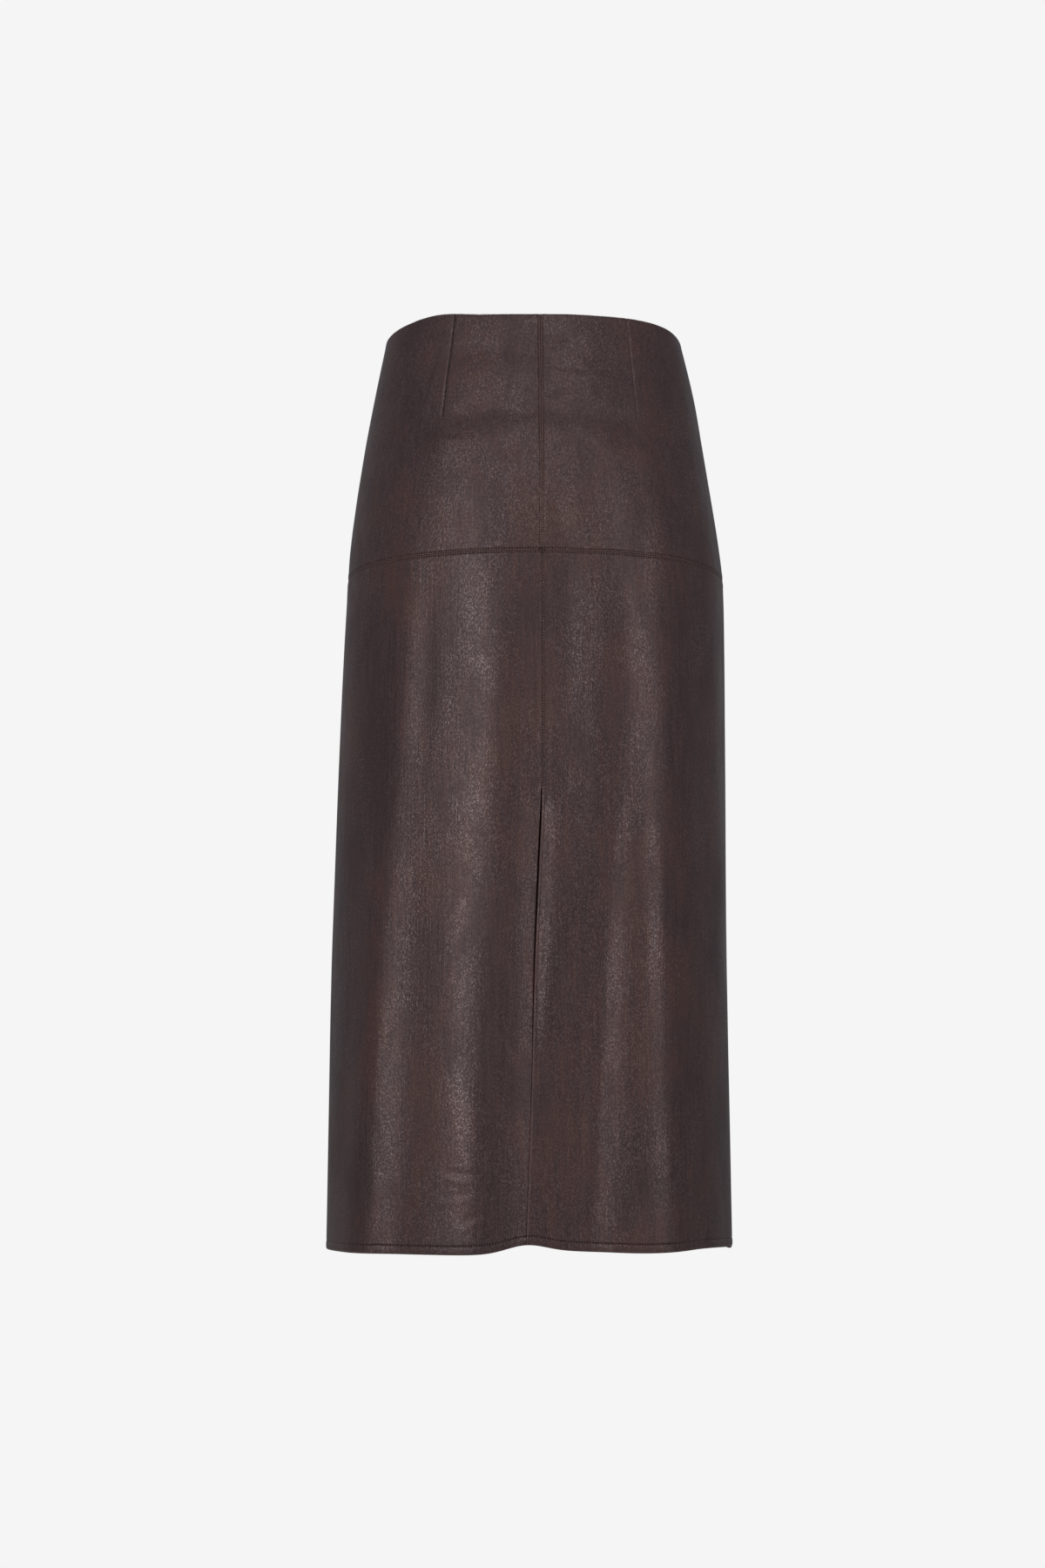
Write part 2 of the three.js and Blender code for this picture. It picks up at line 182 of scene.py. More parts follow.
SECTIONS = (
    Section(0, 130.9, 131.2, 88, 86),
    Section(57, 141.8, 144.4, 101, 95),
    Section(104, 150.2, 152.1, 113, 102),
    Section(150, 157.5, 159.3, 123, 107),
    Section(197, 163.6, 166.1, 129, 110),
    Section(228, 165.6, 169.3, 131, 111),
    Section(291, 168.8, 170.4, 132, 112),
    Section(390, 172.4, 170.8, 131, 112.5),
    Section(484, 175.2, 171.0, 131, 113),
    Section(576, 178.0, 171.4, 131, 114),
    Section(712, 180.2, 173.1, 132, 115),
    Section(815, 181.5, 174.3, 133, 116),
)

CENTRE_LINE = (
    LinePoint(0, 6.2),
    LinePoint(125, 7.2),
    LinePoint(218, 7.2),
    LinePoint(423, 6.9),
    LinePoint(493, 4.0),
    LinePoint(567, 1.0),
    LinePoint(677, -1.6),
    LinePoint(815, -6.6),
)

TOP_WAVES = (Wave(Face.BACK, -82, 3, 26),)
HEM_WAVES = (
    Wave(Face.BACK, -6, 7, 24),
    Wave(Face.BACK, 36, 3, 46),
    Wave(Face.BACK, 150, 3.5, 40),
)

FOLDS = (
    Fold(Face.BACK, -22, -61, 115, 380, 7.4, 45),
    Fold(Face.BACK, -112, -143, 130, 790, 9.5, 20),
    Fold(Face.BACK, 16, 4, 310, 700, -2.2, 22),
    Fold(Face.BACK, 81, 48, 180, 500, 2.3, 12),
    Fold(Face.BACK, 106, 113, 90, 430, 10, 31),
    Fold(Face.FRONT, -60, -74, 180, 560, 7, 34),
    Fold(Face.FRONT, -108, -124, 170, 600, 4, 20),
    Fold(Face.FRONT, 4, -6, 260, 700, -4, 30),
    Fold(Face.FRONT, 66, 74, 180, 560, 7, 32),
)

BACK_LEFT_DART = Dart(Face.BACK, -69, -79.5, 97, lip=0.35)
BACK_RIGHT_DART = Dart(Face.BACK, 82.5, 91, 98, lip=0.2)
FRONT_LEFT_DART = Dart(Face.FRONT, -72, -80, 78, lip=0.3)
FRONT_RIGHT_DART = Dart(Face.FRONT, 72, 80, 78, lip=0.3)

CREASES = (
    Crease(Face.BACK, -4, 88, 330, 0, 13, 1.4, bow=-0.0018),
    Crease(Face.BACK, -15, 33, 230, 0, 12, 0.8, bow=-0.001),
    Crease(Face.BACK, 32, 176, 70, 82, 8, 0.5),
    Crease(Face.BACK, -92, 310, 230, 92.5, 9, 0.7, bow=0.0),
    Crease(Face.FRONT, 0, 64, 300, 0, 16, 1.2, bow=-0.002),
    Crease(Face.BACK, 18, 30, 46, -4, 3.0, 0.35),
    Crease(Face.BACK, 36, 52, 60, 3, 3.4, 0.4),
    Crease(Face.BACK, 24, 78, 44, -6, 2.8, 0.3),
    Crease(Face.BACK, -58, 96, 30, 28, 2.6, 0.3),
    Crease(Face.BACK, -96, 92, 26, -30, 2.6, 0.25),
    Crease(Face.BACK, -70, 112, 34, 8, 3.0, 0.3),
    Crease(Face.BACK, 84, 118, 30, -12, 3.0, 0.25),
    Crease(Face.BACK, -152, 190, 40, 82, 2.6, 0.6),
    Crease(Face.BACK, -158, 240, 34, 74, 2.4, 0.6),
    Crease(Face.BACK, -60, 748, 44, 6, 2.8, 0.7),
    Crease(Face.BACK, -66, 766, 36, -8, 2.6, 0.6),
    Crease(Face.BACK, -50, 784, 30, -20, 2.6, 0.6),
    Crease(Face.BACK, -20, 640, 40, 62, 3.0, 0.3),
    Crease(Face.FRONT, -20, 36, 50, 4, 3.2, 0.4),
    Crease(Face.FRONT, 30, 66, 42, -8, 3.0, 0.35),
    Crease(Face.FRONT, -76, 96, 30, 24, 2.6, 0.3),
    Crease(Face.FRONT, 84, 98, 28, -22, 2.6, 0.3),
    Crease(Face.FRONT, 52, 752, 34, 10, 2.8, 0.4),
    Crease(Face.FRONT, -66, 730, 30, -16, 2.6, 0.4),
)


def smooth_step(low: float, high: float, value: np.ndarray) -> np.ndarray:
    """Rises smoothly from 0 at low to 1 at high."""
    t = np.clip((value - low) / (high - low), 0.0, 1.0)
    return t * t * (3.0 - 2.0 * t)


def bump(distance: np.ndarray) -> np.ndarray:
    """A bell curve: 1 at no distance, and 0.37 at one."""
    return np.exp(-np.square(distance))


def read(rows: Sequence, column: str, drop: np.ndarray) -> np.ndarray:
    """Reads one column of a table at each drop.

    Args:
        rows: the table, in order of drop.
        column: the name of the column.
        drop: the drops to read at.

    Returns:
        The values, on a smooth curve through the table's rows.
    """
    drops = np.array([row.drop for row in rows], float)
    values = np.array([getattr(row, column) for row in rows], float)
    slopes = np.gradient(values, drops)
    slopes[1:-1] = (values[2:] - values[:-2]) / (drops[2:] - drops[:-2])
    k = np.clip(np.searchsorted(drops, drop, side="right") - 1, 0, len(drops) - 2)
    span = drops[k + 1] - drops[k]
    t = np.clip((drop - drops[k]) / span, 0.0, 1.0)
    t2 = t * t
    t3 = t2 * t
    return (
        (2 * t3 - 3 * t2 + 1) * values[k]
        + (t3 - 2 * t2 + t) * span * slopes[k]
        + (3 * t2 - 2 * t3) * values[k + 1]
        + (t3 - t2) * span * slopes[k + 1]
    )


@dataclass(frozen=True)
class SkirtForm:
    """The leather's outer face as one smooth surface, with the solids' outline and nearly their folds."""

    top_above_waist: float = 10.0
    hem_drop: float = 815.0
    yoke_drop: float = 218.0
    slit_drop: float = 423.0
    squareness: float = 2.25
    side_seam_forward: float = 24.0
    waist_dip: float = 7.0
    waist_dip_power: float = 9.0
    yoke_dip: float = 7.0
    yoke_dip_power: float = 3.0
    fold_side_fade: float = 0.35
    normal_step: float = 0.004
    turn: float = 0.01
    halvings: int = 40

    def outline(self, angle: np.ndarray, drop: np.ndarray) -> tuple[np.ndarray, np.ndarray]:
        """Gives the skirt's outline without folds.

        Args:
            angle: angles round the body.
            drop: drops, of the same shape.

        Returns:
            The x and y of each place.
        """
        c = np.cos(angle)
        s = np.sin(angle)
        across = np.where(c < 0, read(SECTIONS, "left", drop), read(SECTIONS, "right", drop))
        deep = np.where(s < 0, read(SECTIONS, "back", drop), read(SECTIONS, "front", drop))
        reach = np.abs(c / across) ** self.squareness + np.abs(s / deep) ** self.squareness
        r = reach ** (-1.0 / self.squareness)
        return r * c, r * s

    def fold_height(self, angle: np.ndarray, x: np.ndarray, drop: np.ndarray) -> np.ndarray:
        """Gives how far the soft folds stand out of the outline.

        Args:
            angle: angles round the body.
            x: the outline's x at each angle.
            drop: drops, of the same shape.

        Returns:
            The height at each place.
        """
        fade = smooth_step(0.0, self.fold_side_fade, np.abs(np.sin(angle)))
        along = np.clip((drop - self.yoke_drop) / (self.hem_drop - self.yoke_drop), -1.0, 1.0)
        height = np.zeros_like(x)
        for fold in FOLDS:
            centre = fold.x_yoke + (fold.x_hem - fold.x_yoke) * along
            here = np.sign(np.sin(angle)) == fold.face.value
            grown = smooth_step(fold.start, fold.full, drop) * bump((x - centre) / fold.width)
            height += np.where(here, fold.depth * grown, 0.0)
        return height * fade

    def surface(self, angle: np.ndarray, drop: np.ndarray) -> np.ndarray:
        """Gives the leather's outer face with its soft folds.

        Args:
            angle: angles round the body.
            drop: drops, of the same shape.

        Returns:
            The points.
        """
        x, y = self.outline(angle, drop)
        ahead_x, ahead_y = self.outline(angle + self.normal_step, drop)
        back_x, back_y = self.outline(angle - self.normal_step, drop)
        along_x = ahead_x - back_x
        along_y = ahead_y - back_y
        length = np.hypot(along_x, along_y)
        height = self.fold_height(angle, x, drop)
        x = x + along_y / length * height
        y = y - along_x / length * height
        return np.stack([x, y, self.top_above_waist - drop], axis=-1)

    def per_radian(self, angle: np.ndarray, drop: np.ndarray) -> np.ndarray:
        """Gives the millimetres of leather in one radian."""
        apart = self.surface(angle + self.turn, drop) - self.surface(angle - self.turn, drop)
        return np.linalg.norm(apart, axis=-1) / (2 * self.turn)

    def angle_at(self, x: np.ndarray, drop: np.ndarray, face: Face) -> np.ndarray:
        """Finds the angle at which the outline reaches a place across the skirt.

        Args:
            x: the places across.
            drop: drops, of the same shape.
            face: the half of the skirt to look on.

        Returns:
            The angles.
        """
        low = np.full_like(drop, math.pi * face.value)
        high = np.zeros_like(drop)
        for _ in range(self.halvings):
            middle = (low + high) / 2
            is_left = self.outline(middle, drop)[0] < x
            low = np.where(is_left, middle, low)
            high = np.where(is_left, high, middle)
        return (low + high) / 2

    def line(self, which: Line, drop: np.ndarray) -> np.ndarray:
        """Gives the angle of a seam that runs down.

        Args:
            which: the seam.
            drop: the drops to give it at.

        Returns:
            The angles.
        """
        if which is Line.CENTRE_BACK:
            return self.angle_at(read(CENTRE_LINE, "x", drop), drop, Face.BACK)
        if which is Line.RIGHT_SIDE:
            return np.arcsin(self.side_seam_forward / read(SECTIONS, "right", drop))
        return math.pi - np.arcsin(self.side_seam_forward / read(SECTIONS, "left", drop))

    def dart_line(self, dart: Dart, drop: np.ndarray) -> np.ndarray:
        """Gives the angle of a dart's stitched line, and of the place below its tip."""
        share = np.minimum(drop, dart.length) / dart.length
        return self.angle_at(dart.x + (dart.x_tip - dart.x) * share, drop, dart.face)

    def edge(self, which: Edge, angle: np.ndarray) -> np.ndarray:
        """Gives the drop of an edge that runs round.

        Args:
            which: the edge.
            angle: the angles to give it at.

        Returns:
            The drops.
        """
        top = np.zeros_like(angle)
        x = self.outline(angle, top)[0]
        side = np.where(np.cos(angle) < 0, SECTIONS[0].left, SECTIONS[0].right)
        share = np.abs(x) / side
        if which is Edge.YOKE:
            return self.yoke_drop + self.yoke_dip * share**self.yoke_dip_power
        if which is Edge.WAIST:
            return self.waist_dip * share**self.waist_dip_power - self.rise(TOP_WAVES, angle, x)
        x = self.outline(angle, top + self.hem_drop)[0]
        return self.hem_drop - self.rise(HEM_WAVES, angle, x)

    def rise(self, waves: Sequence[Wave], angle: np.ndarray, x: np.ndarray) -> np.ndarray:
        """Gives how far an edge rises above its even line.

        Args:
            waves: the edge's waves.
            angle: angles round the body.
            x: the edge's x at each angle.

        Returns:
            The rise at each angle.
        """
        total = np.zeros_like(x)
        for wave in waves:
            here = np.sign(np.sin(angle)) == wave.face.value
            total += np.where(here, wave.rise * bump((x - wave.x) / wave.width), 0.0)
        return total


# The unevenness along every sewn edge: turns in a millimetre, share and start of three sines.
RIPPLES = ((1.31, 1.0, 0.0), (0.83, 0.6, 1.3), (2.27, 0.4, 0.4))
SEAM_GAP = 0.04


@dataclass(frozen=True)
class EdgeFinish:
    """How one edge of a panel is sewn: its rounding, its rows of stitches and its turned margin."""

    radius: float
    gap: float = SEAM_GAP / 2
    turned_width: float = 8.0
    turned_thick: float = 1.0
    rows: tuple[float, ...] = ()
    groove: float = 0.0
    puff: float = 0.1
    pucker: float = 0.05
    # How much paler the raised lip is painted: worn wax, and a painted highlight on its rounded top.
    wear_and_highlight: float = 0.0
    steepest: float = 0.96
    row_half_width: float = 0.5
    puff_at: float = 4.0
    puff_half_width: float = 2.4
    pucker_at: float = 3.0
    pucker_half_width: float = 2.2
    lip_at: float = 0.75
    lip_half_width: float = 0.45
    line_offsets: tuple[float, ...] = (0.0, 0.25, 0.6, 1.0, 1.5, 2.2, 3.2, 4.6, 6.2)
    row_offsets: tuple[float, ...] = (-0.6, -0.3, 0.0, 0.3, 0.6)
    turned_offsets: tuple[float, ...] = (-0.4, 0.5, 2.0)
    least_step: float = 0.24

    def offsets(self) -> np.ndarray:
        """Spaces the mesh lines that run beside the edge, none nearer to the next than the least step.

        Returns:
            Their distances from the edge.
        """
        near_rows = [row + step for row in self.rows for step in self.row_offsets]
        turned = [self.turned_width + step for step in self.turned_offsets]
        kept: list[float] = []
        for value in sorted([*self.line_offsets, *near_rows, *turned]):
            if not kept or value - kept[-1] >= self.least_step:
                kept.append(value)
            elif value in near_rows and kept[-1] not in near_rows:
                kept[-1] = value
        return np.array(kept)

    def rounding(self, e: np.ndarray) -> np.ndarray:
        """Gives how far the rounded edge falls away, at each distance from it."""
        inside = np.clip((self.radius - e) / self.radius, 0.0, 1.0)
        return -self.radius * (1.0 - np.sqrt(1.0 - inside**2 * self.steepest))

    def height(self, e: np.ndarray, along: np.ndarray) -> np.ndarray:
        """Gives how far the outer face stands out near the edge.

        Args:
            e: the distance from the edge.
            along: the distance along the edge, for what repeats along it.

        Returns:
            The height at each place.
        """
        height = self.rounding(e)
        for row in self.rows:
            height = height - self.groove * bump((e - row) / self.row_half_width)
        height = height + self.puff * bump((e - self.puff_at) / self.puff_half_width)
        ripple = sum(share * np.sin(along * turns + start) for turns, share, start in RIPPLES)
        return height + self.pucker * ripple * bump((e - self.pucker_at) / self.pucker_half_width)

    def rubbed_and_highlit(self, e: np.ndarray) -> np.ndarray:
        """Gives how much paler the edge's raised lip is painted: worn wax, and a painted highlight on its
        rounded top.
        """
        return self.wear_and_highlight * bump((e - self.lip_at) / self.lip_half_width)

    def margin(self, e: np.ndarray) -> np.ndarray:
        """Gives how much thicker the wall is where the edge is turned back inside."""
        ends, fades, _ = self.turned_offsets
        return self.turned_thick * (1.0 - smooth_step(self.turned_width + ends, self.turned_width + fades, e))


SEAM_ROW = 1.5
LAPPED_ROW = 1.3
HEM_ROW = 7.4
TOPSTITCHED = EdgeFinish(0.9, rows=(SEAM_ROW,), groove=0.3, puff=0.2, wear_and_highlight=0.5)
PLAIN_SEAM = EdgeFinish(0.8, pucker=0.08)
LAPPED_SEAM = EdgeFinish(0.9, rows=(LAPPED_ROW,), groove=0.2, puff=0.15, pucker=0.04, wear_and_highlight=0.25)
PRESSED_SEAM = EdgeFinish(0.7, pucker=0.03)
WAIST_EDGE = EdgeFinish(2.4, gap=0.0)
HEM_EDGE = EdgeFinish(1.1, gap=0.0, turned_width=9.0, rows=(HEM_ROW,), groove=0.35, puff=0.25, wear_and_highlight=0.25)


@dataclass(frozen=True)
class DartFinish:
    """How the darts are sewn: a pressed groove, a raised lip beside the lower half and a rise below the tip."""

    groove: float = 1.0
    least_groove: float = 0.3
    groove_per_lip: float = 2.0
    groove_width: float = 0.8
    sewn_to: float = 0.9
    lip_from: float = 0.45
    lip_full: float = 0.8
    lip_at: float = -1.9
    lip_half_width: float = 1.1
    rise: float = 0.5
    rise_below: float = 12.0
    rise_half_length: float = 14.0
    rise_half_width: float = 11.0
    # How much paler the dart's raised lip is painted, and where: worn wax, and a painted highlight on its
    # rounded top.
    wear_and_highlight: float = 0.3
    worn_and_lit_to: float = 0.85
    worn_at: float = -1.6
    worn_and_lit_half_width: float = 0.8
    faint: float = 0.25
    line_half_width: float = 0.7
    offsets: tuple[float, ...] = (-6, -4, -2.6, -1.6, -0.9, -0.4, 0, 0.4, 0.9, 1.6, 2.6, 4, 6)

    def height(self, dart: Dart, distance: np.ndarray, drop: np.ndarray) -> np.ndarray:
        """Gives how far the leather stands out beside and below a dart.

        Args:
            dart: the dart.
            distance: the distance from its line.
            drop: drops, of the same shape.

        Returns:
            The height at each place.
        """
        sewn = 1.0 - smooth_step(dart.length * self.sewn_to, dart.length, drop)
        depth = self.groove * min(1.0, self.least_groove + self.groove_per_lip * dart.lip)
        height = -depth * np.exp(-np.abs(distance) / self.groove_width) * sewn
        low_half = smooth_step(dart.length * self.lip_from, dart.length * self.lip_full, drop) * sewn
        height += dart.lip * low_half * bump((distance - self.lip_at) / self.lip_half_width)
        below = bump((drop - dart.length - self.rise_below) / self.rise_half_length)
        return height + self.rise * below * bump(distance / self.rise_half_width)

    def rubbed_and_highlit(self, dart: Dart, distance: np.ndarray, drop: np.ndarray) -> np.ndarray:
        """Gives how much paler the dart's raised side is painted: worn wax, and a painted highlight on its
        rounded top.
        """
        sewn = 1.0 - smooth_step(dart.length * self.worn_and_lit_to, dart.length, drop)
        return self.wear_and_highlight * dart.lip * sewn * bump((distance - self.worn_at) / self.worn_and_lit_half_width)


DARTED = DartFinish()


@dataclass(frozen=True)
class Level:
    """The upper or lower row of panels: the edges above and below it, how they are sewn, and its height."""

    top: Edge
    bottom: Edge
    top_finish: EdgeFinish
    bottom_finish: EdgeFinish
    height: float


@dataclass(frozen=True)
class PanelCut:
    """One cut piece of leather: its seams, its flat size in metres, its mesh's spacing and its darts."""

    node: str
    level: Level
    start: Line
    end: Line
    start_finish: EdgeFinish
    end_finish: EdgeFinish
    flat: tuple[float, float]
    area: float
    spacing: float
    darts: tuple[Dart, ...] = ()
    slit_at: Side | None = None
    zip_at: Side | None = None


UPPER = Level(Edge.WAIST, Edge.YOKE, WAIST_EDGE, TOPSTITCHED, 218.0)
LOWER = Level(Edge.YOKE, Edge.HEM, TOPSTITCHED, HEM_EDGE, 600.0)
LEFT = (Line.LEFT_SIDE, Line.CENTRE_BACK)
RIGHT = (Line.CENTRE_BACK, Line.RIGHT_SIDE)
FRONT = (Line.RIGHT_SIDE, Line.LEFT_SIDE)

CUTS = (
    PanelCut(
        "back_upper_left", UPPER, *LEFT, PLAIN_SEAM, TOPSTITCHED,
        flat=(0.27, 0.235), area=0.052, spacing=2.0, darts=(BACK_LEFT_DART,), zip_at=Side.START,
    ),
    PanelCut(
        "back_upper_right", UPPER, *RIGHT, TOPSTITCHED, PLAIN_SEAM,
        flat=(0.26, 0.235), area=0.050, spacing=2.0, darts=(BACK_RIGHT_DART,),
    ),
    PanelCut(
        "back_lower_left", LOWER, *LEFT, PLAIN_SEAM, PRESSED_SEAM,
        flat=(0.29, 0.62), area=0.162, spacing=2.4, slit_at=Side.END,
    ),
    PanelCut(
        "back_lower_right", LOWER, *RIGHT, LAPPED_SEAM, PLAIN_SEAM,
        flat=(0.27, 0.62), area=0.150, spacing=2.4, slit_at=Side.START,
    ),
    PanelCut(
        "front_upper", UPPER, *FRONT, PLAIN_SEAM, PLAIN_SEAM,
        flat=(0.43, 0.235), area=0.088, spacing=2.6,
        darts=(FRONT_RIGHT_DART, FRONT_LEFT_DART), zip_at=Side.END,
    ),
    PanelCut(
        "front_lower", LOWER, *FRONT, PLAIN_SEAM, PLAIN_SEAM,
        flat=(0.47, 0.62), area=0.262, spacing=3.1,
    ),
)


@dataclass
class PanelGrid:
    """A panel's grid of places, with its distances from each edge and its outward direction."""

    points: np.ndarray
    outward: np.ndarray
    angle: np.ndarray
    drop: np.ndarray
    from_start: np.ndarray
    from_end: np.ndarray
    from_top: np.ndarray
    from_bottom: np.ndarray
    dart_distance: dict[Dart, np.ndarray] = field(default_factory=dict)


def unit(vectors: np.ndarray) -> np.ndarray:
    """Scales vectors to length 1."""
    return vectors / np.linalg.norm(vectors, axis=-1, keepdims=True)


def outward_of(points: np.ndarray) -> np.ndarray:
    """Gives the outward direction at each point of a grid whose rows run down and columns run round."""
    down, round_body = np.gradient(points, axis=(0, 1))
    return unit(np.cross(down, round_body))


def run_length(points: np.ndarray, axis: int) -> np.ndarray:
    """Measures the distance walked along one axis of a grid.

    Args:
        points: the grid's points.
        axis: the axis to walk along.

    Returns:
        The distance of each point from the first row or column.
    """
    steps = np.linalg.norm(np.diff(points, axis=axis), axis=-1)
    start = np.zeros_like(np.take(steps, [0], axis=axis))
    return np.concatenate([start, np.cumsum(steps, axis=axis)], axis=axis)


def grid_faces(number: np.ndarray) -> np.ndarray:
    """Joins a grid of corner numbers into four-sided faces, one row each."""
    faces = np.stack([number[:-1, :-1], number[1:, :-1], number[1:, 1:], number[:-1, 1:]], -1)
    return faces.reshape(-1, 4)


def strip_faces(first: np.ndarray, second: np.ndarray) -> np.ndarray:
    """Joins two rows of corner numbers into four-sided faces, one row each."""
    return np.stack([first[:-1], first[1:], second[1:], second[:-1]], -1)


def make_mesh(
    name: str, points: np.ndarray, faces: np.ndarray, materials: Sequence[bpy.types.Material]
) -> bpy.types.Object:
    """Makes an object at the origin from points in millimetres.

    Args:
        name: the piece's name.
        points: an array of places, one row each.
        faces: an array of corner numbers, one row a face.
        materials: the object's material slots, in order.

    Returns:
        The new object.
    """
    mesh = bpy.data.meshes.new(name)
    mesh.from_pydata((points * MM).tolist(), [], faces.tolist())
    for material in materials:
        mesh.materials.append(material)
    mesh.shade_smooth()
    piece = bpy.data.objects.new(name, mesh)
    bpy.context.scene.collection.objects.link(piece)
    return piece


def repeat_shape(
    points: np.ndarray, faces: np.ndarray, places: np.ndarray, axes: Sequence[np.ndarray]
) -> tuple[np.ndarray, np.ndarray]:
    """Copies one small shape to many places.

    Args:
        points: the shape's points.
        faces: the shape's faces.
        places: where each copy goes, one row each.
        axes: the directions of the shape's X, Y and Z at each place.

    Returns:
        The points and the faces of all the copies.
    """
    placed = places[:, None, :]
    for i, axis in enumerate(axes):
        placed = placed + points[None, :, i : i + 1] * axis[:, None, :]
    numbers = faces[None] + (np.arange(len(places)) * len(points))[:, None, None]
    return placed.reshape(-1, 3), numbers.reshape(-1, faces.shape[1])


# The hide's unevenness: wavelength in millimetres, how much longer it is down the skirt, and height.
UNEVENNESS = ((80, 8.0, 0.26), (40, 6.0, 0.09), (22, 4.0, 0.035))


@dataclass
class LeatherPanel:
    """One leather panel as a thin wall with its sewn edges, darts and creases."""

    cut: PanelCut
    form: SkirtForm
    thickness: float = 1.2
    inner_follows: float = 0.6
    seams_take: float = 20.0
    settling: int = 4
    fewest_cells: int = 2
    no_stitches: float = 20.0
    slit_gap: float = 0.8
    slit_closed_gap: float = 0.12
    slit_closes_from: float = 60.0
    slit_closes_to: float = 200.0
    slit_filled: float = 0.8
    slit_starts_over: float = 30.0
    slit_curl: float = 2.6
    slit_curl_width: float = 9.0
    slit_curl_fade: float = 250.0
    slit_tuck: float = 0.8
    zip_gap: float = 1.2
    zip_drop: float = 18.0
    zip_reach: float = 10.0
    uneven_seed: int = 11
    uneven_waves: int = 4
    uneven_spread: tuple[float, float] = (0.75, 1.3)
    uneven_depth_share: float = 0.8
    calm_reach: float = 30.0
    calm_share: float = 0.35

    def __post_init__(self) -> None:
        """Lays out the grid and finishes its surface."""
        self.share, self.offset = self.lay_rows()
        self.grid = self.lay_grid()
        g = self.grid
        self.edges = {
            Side.TOP: (self.cut.level.top_finish, g.from_top, g.from_start),
            Side.BOTTOM: (self.cut.level.bottom_finish, g.from_bottom, g.from_start),
            Side.START: (self.cut.start_finish, g.from_start, g.from_top),
            Side.END: (self.cut.end_finish, g.from_end, g.from_top),
        }
        self.height = self.relief()
        self.outer = g.points + g.outward * self.height[..., None]
        self.outer_outward = outward_of(self.outer)

    def half_gap(self, side: Side, drop: np.ndarray) -> np.ndarray:
        """Gives how far the panel's start or end stands back from its seam line.

        Args:
            side: the start or the end.
            drop: the drops to give it at.

        Returns:
            The distances.
        """
        gap = np.full_like(drop, SEAM_GAP / 2)
        if side is self.cut.slit_at:
            width = self.slit_gap + (self.slit_closed_gap - self.slit_gap) * self.slit_closes(drop)
            gap = np.where(drop > self.form.slit_drop, width / 2, gap)
        if side is self.cut.zip_at:
            gap = gap + (self.zip_gap - gap) * bump((drop - self.zip_drop) / self.zip_reach)
        return gap

    def lay_rows(self) -> tuple[np.ndarray, np.ndarray]:
        """Spaces the grid's rows, close together at the upper and lower edge and evenly between them.

        Returns:
            Each row's share of the way down, and the millimetres that are added to it.
        """
        level = self.cut.level
        top = level.top_finish.offsets()
        bottom = -level.bottom_finish.offsets()[::-1]
        count = int((level.height - self.seams_take) / self.cut.spacing)
        even = np.arange(1, count) / count
        share = np.concatenate([np.zeros(len(top)), even, np.ones(len(bottom))])
        return share, np.concatenate([top, top[-1] * (1 - even) + bottom[0] * even, bottom])

    def drop_at(self, angle: np.ndarray) -> np.ndarray:
        """Gives the drop of the grid's rows.

        Args:
            angle: angles round the body, with a first axis as long as the grid has rows.

        Returns:
            The drops, of the same shape.
        """
        level = self.cut.level
        shape = (-1,) + (1,) * (angle.ndim - 1)
        top = self.form.edge(level.top, angle) + level.top_finish.gap
        bottom = self.form.edge(level.bottom, angle) - level.bottom_finish.gap
        return top + (bottom - top) * self.share.reshape(shape) + self.offset.reshape(shape)

    def follow(self, line: Callable[[np.ndarray], np.ndarray]) -> tuple[np.ndarray, np.ndarray]:
        """Finds where a line that runs down crosses the grid's rows.

        Args:
            line: gives the line's angle at each drop.

        Returns:
            The angle at each row, and the millimetres of leather in one radian there.
        """
        angle = line(np.zeros_like(self.share))
        for _ in range(self.settling):
            angle = line(self.drop_at(angle))
        return angle, self.form.per_radian(angle, self.drop_at(angle))

    def lay_grid(self) -> PanelGrid:
        """Places the grid's columns close together at seams and darts and evenly between them.

        Returns:
            The grid, before any relief.
        """
        cut = self.cut
        form = self.form
        turn_back = FULL_TURN if cut.start is Line.LEFT_SIDE else 0.0
        angle, per_radian = self.follow(lambda drop: form.line(cut.start, drop) - turn_back)
        gap = self.half_gap(Side.START, self.drop_at(angle))[:, None]
        groups = [(angle, per_radian, gap + cut.start_finish.offsets())]
        for dart in cut.darts:
            groups.append((*self.follow(partial(form.dart_line, dart)), np.array([DARTED.offsets])))
        angle, per_radian = self.follow(partial(form.line, cut.end))
        gap = self.half_gap(Side.END, self.drop_at(angle))[:, None]
        groups.append((angle, per_radian, -cut.end_finish.offsets()[::-1] - gap))

        columns: list[np.ndarray] = []
        for angle, per_radian, offsets in groups:
            group = angle[:, None] + offsets / per_radian[:, None]
            if columns:
                before = columns[-1][:, -1:]
                room = np.mean((group[:, :1] - before) * per_radian[:, None])
                cells = max(self.fewest_cells, int(round(room / cut.spacing)))
                columns.append(before + (group[:, :1] - before) * (np.arange(1, cells) / cells))
            columns.append(group)
        angle = np.concatenate(columns, axis=1)
        drop = self.drop_at(angle)
        points = form.surface(angle, drop)
        across = run_length(points, 1)
        down = run_length(points, 0)
        grid = PanelGrid(
            points, outward_of(points), angle, drop, across, across[:, -1:] - across, down, down[-1:, :] - down
        )
        for dart, (at, per_radian, _) in zip(cut.darts, groups[1:-1]):
            grid.dart_distance[dart] = (angle - at[:, None]) * per_radian[:, None]
        return grid

